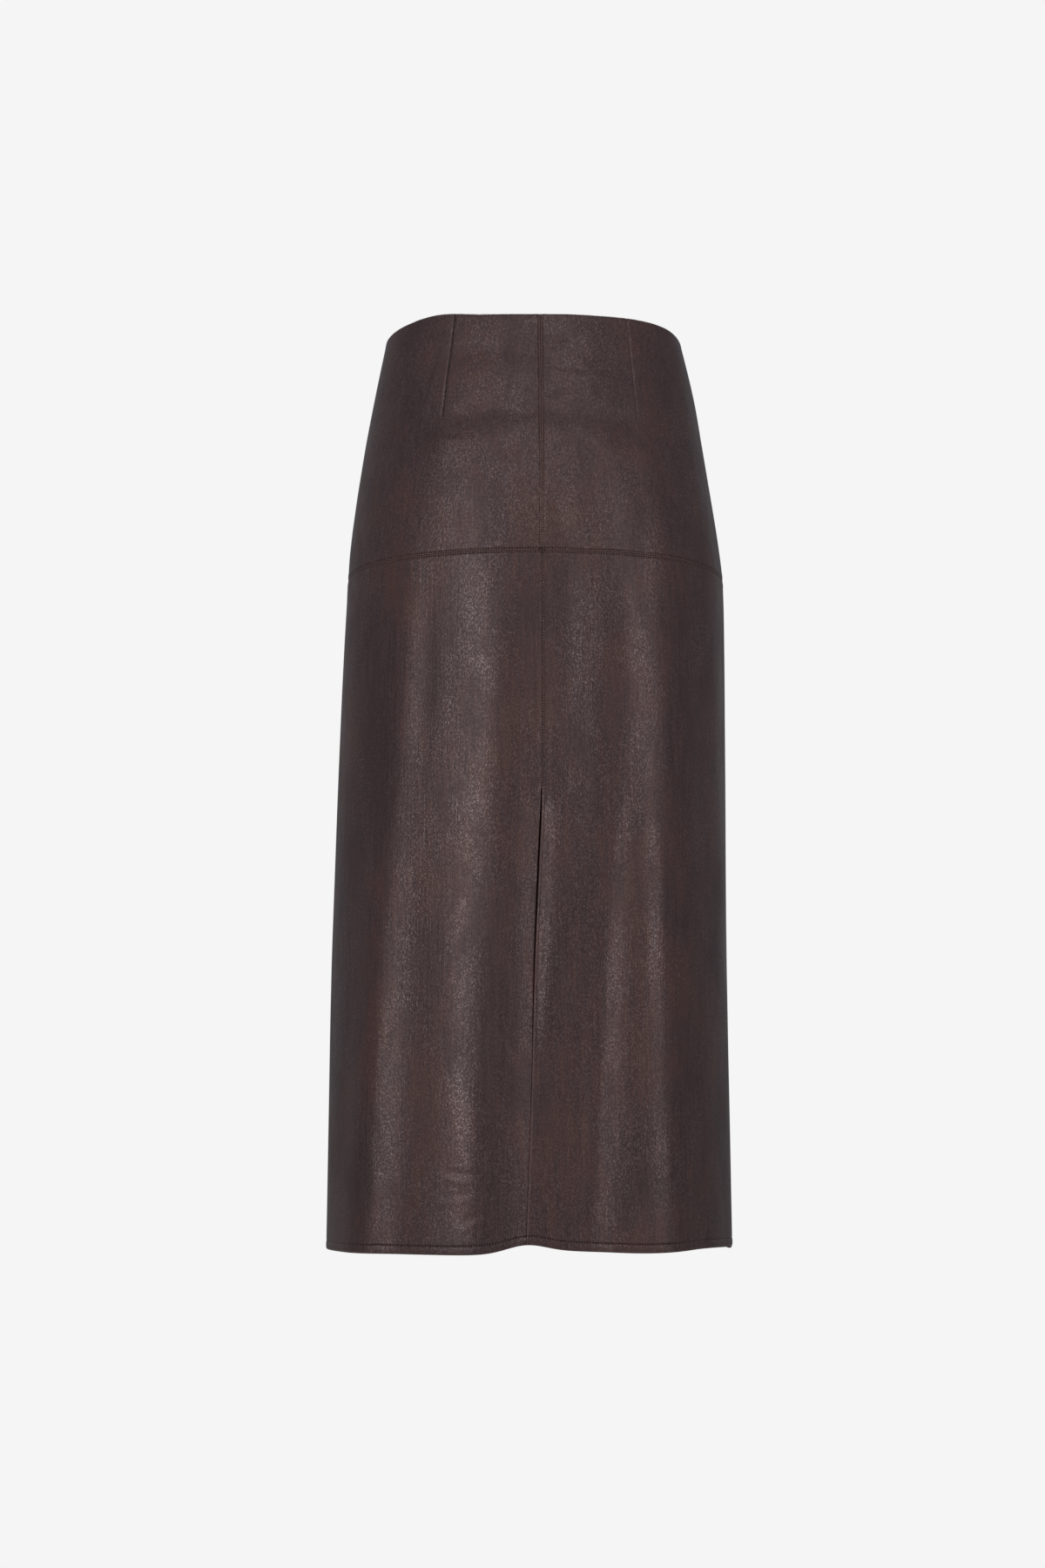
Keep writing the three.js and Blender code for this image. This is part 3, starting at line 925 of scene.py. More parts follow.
    def relief(self) -> np.ndarray:
        """Adds up all that stands out of the smooth surface or sinks into it.

        Returns:
            The height at each place of the grid.
        """
        g = self.grid
        height = np.zeros_like(g.drop)
        for finish, distance, along in self.edges.values():
            height += finish.height(distance, along)
        for dart, distance in g.dart_distance.items():
            height += DARTED.height(dart, distance, g.drop)
        if self.cut.slit_at:
            height += self.slit_relief()
        height += sum(crease.height(g.points, g.drop) for crease in CREASES)
        return height + self.undulation()

    def rubbed_and_highlit(self) -> np.ndarray:
        """Adds up where the leather is painted paler, on the lips of the seams and beside the darts: worn wax,
        and a painted highlight on their rounded tops.

        Returns:
            How much paler it is painted at each place of the grid.
        """
        g = self.grid
        wear_and_highlight = sum(finish.rubbed_and_highlit(distance) for finish, distance, _ in self.edges.values())
        for dart, distance in g.dart_distance.items():
            wear_and_highlight = wear_and_highlight + DARTED.rubbed_and_highlit(dart, distance, g.drop)
        return wear_and_highlight

    def stitch_places(self) -> tuple[np.ndarray, np.ndarray]:
        """Gives each place's distance along and beside the nearest row of stitches.

        Returns:
            The distance along the row and the distance from it, which is large where there is no row.
        """
        g = self.grid
        along = np.zeros_like(g.drop)
        beside = np.full_like(g.drop, self.no_stitches)
        for side, (finish, distance, run) in self.edges.items():
            for row in finish.rows:
                off = distance - row
                is_nearer = np.abs(off) < np.abs(beside)
                if side is self.cut.slit_at:
                    is_nearer &= g.drop < self.form.slit_drop
                along = np.where(is_nearer, run, along)
                beside = np.where(is_nearer, off, beside)
        for dart, distance in g.dart_distance.items():
            if dart.lip > DARTED.faint:
                is_line = (np.abs(distance) < DARTED.line_half_width) & (g.drop < dart.length)
                along = np.where(is_line, 0.0, along)
                beside = np.where(is_line, distance, beside)
        return along, beside

    def slit_closes(self, drop: np.ndarray) -> np.ndarray:
        """Gives how nearly the slit's two edges meet: 0 at its top and 1 from well below it."""
        return smooth_step(self.slit_closes_from, self.slit_closes_to, drop - self.form.slit_drop)

    def slit_relief(self) -> np.ndarray:
        """Gives the curl of one free edge of the slit or the tuck of the other.

        Returns:
            The height at each place of the grid.
        """
        finish, distance, _ = self.edges[self.cut.slit_at]
        down = self.grid.drop - self.form.slit_drop
        height = bump(distance / self.slit_curl_width) * smooth_step(0.0, self.slit_starts_over, down)
        filled = self.slit_filled * self.slit_closes(self.grid.drop) * finish.rounding(distance)
        if self.cut.slit_at is Side.END:
            return -self.slit_tuck * height - filled
        fades = 1.0 - smooth_step(self.slit_curl_fade / 2, self.slit_curl_fade, down)
        return self.slit_curl * height * fades - filled

    def undulation(self) -> np.ndarray:
        """Gives the slight unevenness of worn leather, long down the skirt and short round it.

        Returns:
            The height at each place of the grid.
        """
        g = self.grid
        arc = g.points[..., 0] + self.uneven_depth_share * g.points[..., 1]
        calm = smooth_step(0.0, self.calm_reach, np.minimum(g.from_start, g.from_end))
        random = np.random.default_rng(self.uneven_seed)
        height = np.zeros_like(arc)
        for wavelength, stretch, amount in UNEVENNESS:
            for _ in range(self.uneven_waves):
                k = FULL_TURN / (wavelength * random.uniform(*self.uneven_spread))
                tilt = random.uniform(-1.0, 1.0) / stretch
                phase = random.uniform(0.0, FULL_TURN)
                height += amount / 2 * np.sin(k * (arc + tilt * g.drop) + phase)
        return height * (self.calm_share + (1.0 - self.calm_share) * calm)

    def build(self, leather: bpy.types.Material, flesh: bpy.types.Material) -> bpy.types.Object:
        """Makes the panel's closed wall, names it after the solid that it stands for and hides that solid.

        Args:
            leather: the grain side's material.
            flesh: the inner side's material.

        Returns:
            The finished piece.
        """
        g = self.grid
        rows, columns = g.angle.shape
        margin = np.max([finish.margin(distance) for finish, distance, _ in self.edges.values()], axis=0)
        sunk = np.minimum(self.height, self.inner_follows) - self.thickness - margin
        inner = g.points + g.outward * sunk[..., None]
        points = np.concatenate([self.outer.reshape(-1, 3), inner.reshape(-1, 3)])
        number = np.arange(rows * columns).reshape(rows, columns)
        back = number + rows * columns
        turned = [1, 0, 3, 2]
        faces = np.concatenate(
            [
                grid_faces(number),
                grid_faces(back)[:, [0, 3, 2, 1]],
                strip_faces(number[0], back[0]),
                strip_faces(number[-1], back[-1])[:, turned],
                strip_faces(number[:, 0], back[:, 0])[:, turned],
                strip_faces(number[:, -1], back[:, -1]),
            ]
        )
        piece = make_mesh("leather_" + self.cut.node, points, faces, [leather, flesh])
        cells = (rows - 1) * (columns - 1)
        is_flesh = np.zeros(len(faces), dtype=np.int32)
        is_flesh[cells : 2 * cells] = (margin[:-1, :-1] < EdgeFinish.turned_thick / 2).reshape(-1)
        piece.data.polygons.foreach_set("material_index", is_flesh)
        along, beside = self.stitch_places()
        # The first attribute paints the lips of seams and darts paler: worn wax and painted highlight.
        for name, values in (("wear_and_highlight", self.rubbed_and_highlit()), ("stitch_along", along), ("stitch_beside", beside)):
            attribute = piece.data.attributes.new(name, "FLOAT", "POINT")
            attribute.data.foreach_set("value", np.tile(values.reshape(-1), 2))
        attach(piece, "skirt")
        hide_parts(self.cut.node)
        return piece

    def path(self, side: Side, distance: float) -> tuple[np.ndarray, np.ndarray]:
        """Finds the line of the finished surface that runs beside one edge.

        Args:
            side: the edge.
            distance: how far the line is from that edge.

        Returns:
            The line's points and outward directions.
        """
        from_edge = self.edges[side][1]
        if side in (Side.TOP, Side.BOTTOM):
            k = int(np.argmin(np.abs(from_edge[:, 0] - distance)))
            return self.outer[k], self.outer_outward[k]
        k = int(np.argmin(np.abs(from_edge[0] - distance)))
        return self.outer[:, k], self.outer_outward[:, k]


def linear(hex_colour: str) -> tuple[float, float, float, float]:
    """Turns an sRGB hex colour into the linear colour that a shader takes."""
    parts = [int(hex_colour[i : i + 2], 16) / 255 for i in (1, 3, 5)]
    return (*(p / 12.92 if p <= 0.04045 else ((p + 0.055) / 1.055) ** 2.4 for p in parts), 1.0)


# What a Map Range node calls the two ends of the span it reads and of the one it gives.
RANGE = ("From Min", "From Max", "To Min", "To Max")
# A pattern's scale counts its lumps in a metre.
PER_METRE = 1000.0


class Shading:
    """The node tree of one material or world, filled a node at a time."""

    def __init__(self, owner: bpy.types.ID) -> None:
        """Empties the tree of a new material or world.

        Args:
            owner: the material or world.
        """
        owner.use_nodes = True
        self.tree = owner.node_tree
        self.tree.nodes.clear()

    def add(
        self,
        kind: str,
        settings: dict | None = None,
        values: dict | None = None,
        links: dict | None = None,
        stops: Sequence[tuple[float, str]] = (),
    ) -> bpy.types.Node:
        """Adds a node.

        Args:
            kind: the node's type.
            settings: its properties, by name.
            values: what its inputs are set to, by name or number.
            links: the outputs that feed its inputs, by name or number.
            stops: the places and hex colours of its colour ramp, two or more.

        Returns:
            The new node.
        """
        node = self.tree.nodes.new(kind)
        for key, value in (settings or {}).items():
            setattr(node, key, value)
        for key, value in (values or {}).items():
            node.inputs[key].default_value = value
        for key, output in (links or {}).items():
            self.tree.links.new(output, node.inputs[key])
        for k, (place, colour) in enumerate(stops):
            element = node.color_ramp.elements[k] if k < 2 else node.color_ramp.elements.new(place)
            element.position = place
            element.color = linear(colour)
        return node


@dataclass(frozen=True)
class Lumps:
    """A noise pattern: its lumps' width, their width over their length down the skirt, and its detail."""

    width_mm: float
    squeeze: float
    detail: float


@dataclass(frozen=True)
class CrackledLeather:
    """Waxed, drum-tumbled cowhide, dark and reddish. Its fine grain breaks the shine into small bright specks,
    more in some places than others. The wax is worn into cloudy patches and into fine streaks that run down the
    hide. The lips of the seams are painted paler: worn wax, and a painted highlight on their rounded tops. The
    needle holes in the stitched rows are painted dark, as painted shade in the pits. The real grain is finer
    than a full view can show, so it is drawn a little coarser."""

    # Tones of the hide from dark to pale, set by its cloudy and streaky patterns; the palest is worn wax.
    deep: str = "#3e2f2f"
    mid: str = "#463535"
    rubbed_and_highlit: str = "#503a36"
    colour_places: tuple[float, float, float] = (0.4, 0.49, 0.6)
    # Paler colour painted on the lips of seams and darts: worn wax, and a painted highlight on their rounded
    # tops.
    lip: str = "#80665f"
    # Near black painted in the needle holes: painted shade in the pits.
    hole: str = "#0d0605"
    wax_tint: tuple[float, float, float, float] = (1.0, 0.8, 0.78, 1.0)
    cloud: Lumps = Lumps(62.0, 0.6, 4.0)
    grainy: Lumps = Lumps(38.0, 0.5, 3.0)
    streak: Lumps = Lumps(2.4, 0.06, 3.0)
    grain: Lumps = Lumps(1.1, 0.6, 2.0)
    cell_mm: float = 2.0
    cell_high_mm: float = 0.07
    grain_high_mm: float = 0.12
    streak_high_mm: float = 0.16
    stitch_mm: float = 2.25
    hole_half_width_mm: float = 0.9
    hole_core: float = 0.4
    hole_soft: float = 0.3
    hole_deep_mm: float = 0.35
    rough_at: tuple[float, float, float, float] = (0.35, 0.65, 0.42, 0.32)
    break_at: tuple[float, float, float, float] = (0.38, 0.62, 1.4, 6.5)
    even_shine: float = 0.45
    shine_kept: tuple[float, float] = (0.32, 1.6)

    def material(self) -> bpy.types.Material:
        """Builds the material.

        Returns:
            The material.
        """
        material = bpy.data.materials.new("waxed grain leather")
        s = Shading(material)
        place = s.add("ShaderNodeTexCoord").outputs["Object"]
        patterns: list[bpy.types.NodeSocket] = []
        for lumps in (self.cloud, self.grainy, self.streak, self.grain):
            squeezed = s.add(
                "ShaderNodeMapping", values={"Scale": (1.0, 1.0, lumps.squeeze)}, links={"Vector": place}
            ).outputs["Vector"]
            scale = PER_METRE / lumps.width_mm
            noise = s.add(
                "ShaderNodeTexNoise",
                values={"Scale": scale, "Detail": lumps.detail, "Roughness": 0.6, "Distortion": 0.4},
                links={"Vector": squeezed},
            )
            patterns.append(noise.outputs["Fac"])
        cloud, grainy, streak, grain = patterns
        cells = s.add(
            "ShaderNodeTexVoronoi",
            {"feature": "SMOOTH_F1"},
            {"Scale": PER_METRE / self.cell_mm, "Smoothness": 0.6},
            {"Vector": place},
        ).outputs["Distance"]
        hole = self.holes(s)
        rough = s.add("ShaderNodeMapRange", values=dict(zip(RANGE, self.rough_at)), links={"Value": grainy})
        tops = s.add("ShaderNodeMath", {"operation": "SUBTRACT"}, {0: 1.0}, {1: cells}).outputs[0]
        floor = s.add("ShaderNodeMath", {"operation": "SUBTRACT"}, {0: 1.0}, {1: hole}).outputs[0]
        heights = (
            (tops, self.cell_high_mm),
            (grain, self.grain_high_mm),
            (streak, self.streak_high_mm),
            (floor, self.hole_deep_mm),
        )
        normal: dict[str, bpy.types.NodeSocket] = {}
        for height, high in heights:
            full = {"Strength": 1.0, "Distance": high * MM}
            raised = s.add("ShaderNodeBump", values=full, links={"Height": height, **normal})
            normal = {"Normal": raised.outputs["Normal"]}
        shader = s.add(
            "ShaderNodeBsdfPrincipled",
            values={"Specular Tint": self.wax_tint},
            links={
                "Base Color": self.colour(s, cloud, streak, hole),
                "Specular IOR Level": self.shine(s, grain, grainy),
                "Roughness": rough.outputs["Result"],
                **normal,
            },
        )
        s.add("ShaderNodeOutputMaterial", links={"Surface": shader.outputs["BSDF"]})
        return material

    def holes(self, s: Shading) -> bpy.types.NodeSocket:
        """Adds the needle holes, from the mesh's stitch attributes: they sink into the bump and are painted
        with shade.

        Args:
            s: the material's tree.

        Returns:
            An output that is 1 in a hole and 0 elsewhere.
        """
        along = s.add("ShaderNodeAttribute", {"attribute_name": "stitch_along"}).outputs["Fac"]
        beside = s.add("ShaderNodeAttribute", {"attribute_name": "stitch_beside"}).outputs["Fac"]
        per_stitch = {1: FULL_TURN / self.stitch_mm}
        turns = s.add("ShaderNodeMath", {"operation": "MULTIPLY"}, per_stitch, {0: along}).outputs[0]
        wave = s.add("ShaderNodeMath", {"operation": "COSINE"}, links={0: turns}).outputs[0]
        away = s.add("ShaderNodeMath", {"operation": "ABSOLUTE"}, links={0: beside}).outputs[0]
        core = self.hole_half_width_mm * self.hole_core
        masks = []
        for value, span in (
            (wave, (-self.hole_soft, self.hole_soft, 0.0, 1.0)),
            (away, (core, self.hole_half_width_mm, 1.0, 0.0)),
        ):
            mask = s.add("ShaderNodeMapRange", values=dict(zip(RANGE, span)), links={"Value": value})
            masks.append(mask.outputs["Result"])
        return s.add("ShaderNodeMath", {"operation": "MULTIPLY"}, links=dict(enumerate(masks))).outputs[0]

    def colour(
        self, s: Shading, cloud: bpy.types.NodeSocket, streak: bpy.types.NodeSocket, hole: bpy.types.NodeSocket
    ) -> bpy.types.NodeSocket:
        """Mixes the hide's colour with its paler lips, which are worn wax and painted highlight, and with the
        painted shade of the needle holes.

        Args:
            s: the material's tree.
            cloud: the cloudy pattern.
            streak: the streaky pattern.
            hole: the needle holes, where shade is painted.

        Returns:
            The colour.
        """
        both = s.add("ShaderNodeMath", {"operation": "ADD"}, links={0: cloud, 1: streak}).outputs[0]
        half = s.add("ShaderNodeMath", {"operation": "MULTIPLY"}, {1: 0.5}, {0: both}).outputs[0]
        stops = tuple(zip(self.colour_places, (self.deep, self.mid, self.rubbed_and_highlit)))
        colour = s.add("ShaderNodeValToRGB", links={"Fac": half}, stops=stops).outputs["Color"]
        wear_and_highlight = s.add("ShaderNodeAttribute", {"attribute_name": "wear_and_highlight"}).outputs["Fac"]
        # Paints the lips paler, with worn wax and painted highlight, and the needle holes near black, with
        # painted shade.
        for other, amount in ((self.lip, wear_and_highlight), (self.hole, hole)):
            colour = s.add(
                "ShaderNodeMix", {"data_type": "RGBA"}, {7: linear(other)}, {0: amount, 6: colour}
            ).outputs[2]
        return colour

    def shine(
        self, s: Shading, grain: bpy.types.NodeSocket, grainy: bpy.types.NodeSocket
    ) -> bpy.types.NodeSocket:
        """Adds the broken shine: bright on the tops of the grain where the hide is grainy, and even elsewhere.

        Args:
            s: the material's tree.
            grain: the fine grain's pattern.
            grainy: how grainy the hide is at each place.

        Returns:
            The specular level.
        """
        amount = s.add("ShaderNodeMapRange", values=dict(zip(RANGE, self.break_at)), links={"Value": grainy})
        off = s.add("ShaderNodeMath", {"operation": "SUBTRACT"}, {1: 0.5}, {0: grain}).outputs[0]
        links = {0: off, 1: amount.outputs["Result"]}
        broken = s.add("ShaderNodeMath", {"operation": "MULTIPLY"}, links=links).outputs[0]
        raised = s.add("ShaderNodeMath", {"operation": "ADD"}, {1: self.even_shine}, {0: broken}).outputs[0]
        kept = dict(zip(RANGE, self.shine_kept * 2))
        return s.add("ShaderNodeMapRange", values=kept, links={"Value": raised}).outputs["Result"]


@dataclass(frozen=True)
class FleshSide:
    """The hide's unfinished back: short, matte suede nap, a lighter and duller brown than the grain."""

    colour: str = "#4a3832"
    worn: str = "#5b463d"
    worn_at: tuple[float, float] = (0.35, 0.7)
    nap_scale: float = 900.0
    nap_high_mm: float = 0.4
    cloud_scale: float = 22.0
    roughness: float = 0.92

    def material(self) -> bpy.types.Material:
        """Builds the material.

        Returns:
            The material.
        """
        material = bpy.data.materials.new("suede flesh side")
        s = Shading(material)
        place = {"Vector": s.add("ShaderNodeTexCoord").outputs["Object"]}
        fine = {"Scale": self.nap_scale, "Detail": 3.0, "Roughness": 0.7}
        nap = s.add("ShaderNodeTexNoise", values=fine, links=place).outputs["Fac"]
        broad = {"Scale": self.cloud_scale, "Detail": 3.0}
        cloud = s.add("ShaderNodeTexNoise", values=broad, links=place).outputs["Fac"]
        stops = tuple(zip(self.worn_at, (self.colour, self.worn)))
        colour = s.add("ShaderNodeValToRGB", links={"Fac": cloud}, stops=stops).outputs["Color"]
        soft = {"Strength": 0.5, "Distance": self.nap_high_mm * MM}
        normal = s.add("ShaderNodeBump", values=soft, links={"Height": nap}).outputs["Normal"]
        shader = s.add(
            "ShaderNodeBsdfPrincipled",
            values={"Roughness": self.roughness, "Specular IOR Level": 0.2, "Sheen Weight": 0.15},
            links={"Base Color": colour, "Normal": normal},
        )
        s.add("ShaderNodeOutputMaterial", links={"Surface": shader.outputs["BSDF"]})
        return material


@dataclass(frozen=True)
class SewingThread:
    """Bonded polyester thread, twisted: a ribbed cord with a low shine, a shade redder than the leather."""

    colour: str = "#6b5049"
    twist_scale: float = 900.0
    twist_high_mm: float = 0.1
    roughness: float = 0.5

    def material(self) -> bpy.types.Material:
        """Builds the material.

        Returns:
            The material.
        """
        material = bpy.data.materials.new("bonded polyester thread")
        s = Shading(material)
        place = {"Vector": s.add("ShaderNodeTexCoord").outputs["Object"]}
        ply = {"Scale": self.twist_scale, "Distortion": 1.0}
        twist = s.add("ShaderNodeTexWave", {"bands_direction": "DIAGONAL"}, ply, place).outputs["Fac"]
        ribbed = {"Strength": 0.4, "Distance": self.twist_high_mm * MM}
        normal = s.add("ShaderNodeBump", values=ribbed, links={"Height": twist}).outputs["Normal"]
        shader = s.add(
            "ShaderNodeBsdfPrincipled",
            values={"Base Color": linear(self.colour), "Roughness": self.roughness},
            links={"Normal": normal},
        )
        s.add("ShaderNodeOutputMaterial", links={"Surface": shader.outputs["BSDF"]})
        return material


@dataclass(frozen=True)
class WovenTape:
    """Polyester zip tape in a tight herringbone: matte, with fine ribs that run down it."""

    colour: str = "#2a2120"
    between: str = "#201918"
    colour_at: tuple[float, float] = (0.2, 0.8)
    rib_scale: float = 500.0
    rib_high_mm: float = 0.2
    roughness: float = 0.85

    def material(self) -> bpy.types.Material:
        """Builds the material.

        Returns:
            The material.
        """
        material = bpy.data.materials.new("woven polyester tape")
        s = Shading(material)
        place = {"Vector": s.add("ShaderNodeTexCoord").outputs["Object"]}
        ribs = {"Scale": self.rib_scale, "Distortion": 2.0}
        weave = s.add("ShaderNodeTexWave", {"bands_direction": "Z"}, ribs, place).outputs["Fac"]
        ribbed = {"Strength": 0.6, "Distance": self.rib_high_mm * MM}
        normal = s.add("ShaderNodeBump", values=ribbed, links={"Height": weave}).outputs["Normal"]
        stops = tuple(zip(self.colour_at, (self.between, self.colour)))
        colour = s.add("ShaderNodeValToRGB", links={"Fac": weave}, stops=stops).outputs["Color"]
        shader = s.add(
            "ShaderNodeBsdfPrincipled",
            values={"Roughness": self.roughness},
            links={"Base Color": colour, "Normal": normal},
        )
        s.add("ShaderNodeOutputMaterial", links={"Surface": shader.outputs["BSDF"]})
        return material


@dataclass(frozen=True)
class LacqueredZinc:
    """Die-cast zinc under brown lacquer: smooth and glossy, worn a little brighter where it rubs."""

    colour: str = "#3a2f2b"
    worn: str = "#6a5a50"
    worn_at: tuple[float, float] = (0.5, 0.75)
    rub_scale: float = 420.0
    roughness: tuple[float, float] = (0.25, 0.42)
    metallic: float = 0.85

    def material(self) -> bpy.types.Material:
        """Builds the material.

        Returns:
            The material.
        """
        material = bpy.data.materials.new("lacquered die-cast zinc")
        s = Shading(material)
        place = {"Vector": s.add("ShaderNodeTexCoord").outputs["Object"]}
        patches = {"Scale": self.rub_scale, "Detail": 3.0}
        rub = s.add("ShaderNodeTexNoise", values=patches, links=place).outputs["Fac"]
        stops = tuple(zip(self.worn_at, (self.colour, self.worn)))
        colour = s.add("ShaderNodeValToRGB", links={"Fac": rub}, stops=stops).outputs["Color"]
        dull = dict(zip(RANGE, (0.0, 1.0, *self.roughness)))
        rough = s.add("ShaderNodeMapRange", values=dull, links={"Value": rub}).outputs["Result"]
        shader = s.add(
            "ShaderNodeBsdfPrincipled",
            values={"Metallic": self.metallic},
            links={"Base Color": colour, "Roughness": rough},
        )
        s.add("ShaderNodeOutputMaterial", links={"Surface": shader.outputs["BSDF"]})
        return material


@dataclass(frozen=True)
class SeamRow:
    """One row of stitches: the panel and edge that it follows, its place on it and where it ends."""

    node: str
    side: Side
    distance: float
    end_drop: float = math.inf


SEAM_ROWS = {
    "stitches_centre_back": (
        SeamRow("back_upper_left", Side.END, SEAM_ROW),
        SeamRow("back_upper_right", Side.START, SEAM_ROW),
        SeamRow("back_lower_right", Side.START, LAPPED_ROW, end_drop=SkirtForm.slit_drop),
    ),
    "stitches_hip_seam": (
        SeamRow("back_upper_left", Side.BOTTOM, SEAM_ROW),
        SeamRow("back_upper_right", Side.BOTTOM, SEAM_ROW),
        SeamRow("front_upper", Side.BOTTOM, SEAM_ROW),
        SeamRow("back_lower_left", Side.TOP, SEAM_ROW),
        SeamRow("back_lower_right", Side.TOP, SEAM_ROW),
        SeamRow("front_lower", Side.TOP, SEAM_ROW),
    ),
    "stitches_hem": (
        SeamRow("back_lower_left", Side.BOTTOM, HEM_ROW),
        SeamRow("back_lower_right", Side.BOTTOM, HEM_ROW),
        SeamRow("front_lower", Side.BOTTOM, HEM_ROW),
    ),
}


@dataclass
class Stitching:
    """Rows of lockstitch, each stitch a short plump length of thread that dips at both ends."""

    panels: dict[str, LeatherPanel]
    pitch: float = 2.25
    length: float = 1.3
    width: float = 0.6
    tall: float = 0.5
    dip: float = 0.28
    reach: float = 0.8
    first: float = 1.5
    last: float = 0.5

    def template(self) -> tuple[np.ndarray, np.ndarray]:
        """Models one stitch by hand and reads its mesh.

        Returns:
            Its points, with the thread along X and Z outwards, and its faces.
        """
        bpy.ops.object.select_all(action="DESELECT")
        lying = (0, math.pi / 2, 0)
        bpy.ops.mesh.primitive_uv_sphere_add(segments=6, ring_count=5, radius=0.5, rotation=lying)
        stitch = bpy.context.active_object
        bpy.ops.object.transform_apply(location=True, rotation=True, scale=True)
        bpy.ops.object.mode_set(mode="EDIT")
        bpy.ops.mesh.select_all(action="SELECT")
        bpy.ops.transform.resize(value=(self.length, self.width, self.tall), center_override=(0, 0, 0))
        bpy.ops.mesh.quads_convert_to_tris()
        bpy.ops.object.mode_set(mode="OBJECT")
        points = np.array([v.co for v in stitch.data.vertices])
        faces = np.array([list(p.vertices) for p in stitch.data.polygons])
        points[:, 2] -= self.dip * (2 * points[:, 0] / self.length) ** 2
        bpy.data.objects.remove(stitch, do_unlink=True)
        return points, faces

    def sew(self, row: SeamRow, points: np.ndarray, faces: np.ndarray) -> tuple[np.ndarray, np.ndarray]:
        """Lays one row of stitches along a seam.

        Args:
            row: the row to sew.
            points: one stitch's points.
            faces: one stitch's faces.

        Returns:
            The points and the faces of the row.
        """
        panel = self.panels[row.node]
        path, outward = panel.path(row.side, row.distance)
        kept = panel.form.top_above_waist - path[:, 2] <= row.end_drop
        path = path[kept]
        outward = outward[kept]
        walked = np.concatenate([[0.0], np.cumsum(np.linalg.norm(np.diff(path, axis=0), axis=1))])
        middles = np.arange(self.pitch * self.first, walked[-1] - self.pitch * self.last, self.pitch)
        at, ahead, behind, up = (
            np.stack([np.interp(middles + step, walked, values[:, i]) for i in range(3)], -1)
            for values, step in ((path, 0.0), (path, self.reach), (path, -self.reach), (outward, 0.0))
        )
        along = unit(ahead - behind)
        across = unit(np.cross(unit(up), along))
        return repeat_shape(points, faces, at, (along, across, np.cross(along, across)))

    def build(self, rows: Sequence[SeamRow], name: str, thread: bpy.types.Material) -> bpy.types.Object:
        """Sews rows of stitches into one joined mesh.

        Args:
            rows: the rows to sew.
            name: the piece's name.
            thread: the thread's material.

        Returns:
            The finished piece.
        """
        points, faces = self.template()
        sewn = [self.sew(row, points, faces) for row in rows]
        first = np.cumsum([0] + [len(row_points) for row_points, _ in sewn])
        all_points = np.concatenate([row_points for row_points, _ in sewn])
        all_faces = np.concatenate([row_faces + start for (_, row_faces), start in zip(sewn, first)])
        piece = make_mesh(name, all_points, all_faces, [thread])
        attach(piece, "skirt")
        return piece


@dataclass(frozen=True)
class ZipSizes:
    """The sizes of the concealed zip, which are those of its solids."""

    top: float = 9.0
    length: float = 196.0
    tape_width: float = 12.0
    tape_thick: float = 0.8
    tape_depth: float = 3.25
    half_gap: float = 1.2
    slider_drop: float = 18.0
    tooth_pitch: float = 1.5
    wire: float = 0.35
    tooth_reach: float = 2.1
    axis_out: float = 2.4
    loop_inner: float = 1.3
    loop_outer: float = 2.3
    loop_thick: float = 1.4
    neck_high: float = 3.4
    body_out: float = -4.85
    body_deep: float = 2.8
    body_wide: float = 7.5
    body_high: float = 9.0
    pull_top: float = 0.6
    pull_length: float = 22.0
    pull_thick: float = 1.2
    rail_outer: float = 2.2
    rail_inner: float = 1.1
    window_end: float = 3.0
    tip_half_width: float = 2.7
    lean: float = 3.6


@dataclass(frozen=True)
class ZipDetails:
    """The zip's small sizes that its solids don't have: roundings, grooves, insets and the coil's turns."""

    body_round: float = 1.6
    plate_share: float = 0.32
    past: float = 1.0
    core_inset: float = 0.4
    core_half_wide: float = 1.4
    core_short: float = 1.2
    neck_sunk: float = 0.6
    neck_into_loop: float = 0.2
    soft_body: float = 0.3
    soft_small: float = 0.2
    tip_round_share: float = 0.96
    top_round: float = 0.5
    window_round: float = 0.6
    cutter_out: float = 3.0
    panel_deep: float = 0.15
    panel_half_wide: float = 1.5
    panel_round: float = 1.3
    panel_from_tip: float = 2.2
    panel_from_window: float = 3.0
    head: float = 0.3
    head_at: float = 0.1
    head_half_width: float = 0.6
    head_swelling: float = 0.35
    teeth_below_slider: float = 8.0
    teeth_above_end: float = 4.0
    teeth_behind_tape: float = 0.5


@dataclass(frozen=True)
class WovenProfile:
    """A tape's cross-section: each mesh line's share of the width, and how raised the weave is there."""

    rows: int = 99
    shares: tuple[float, ...] = (0.0, 0.06, 0.14, 0.3, 0.5, 0.7, 0.86, 0.94, 1.0)
    raised: tuple[float, ...] = (0.0, 1.0, 1.0, 0.0, 0.0, 0.0, 1.0, 1.0, 0.0)
    high: float = 0.12
    sunk: float = 0.14


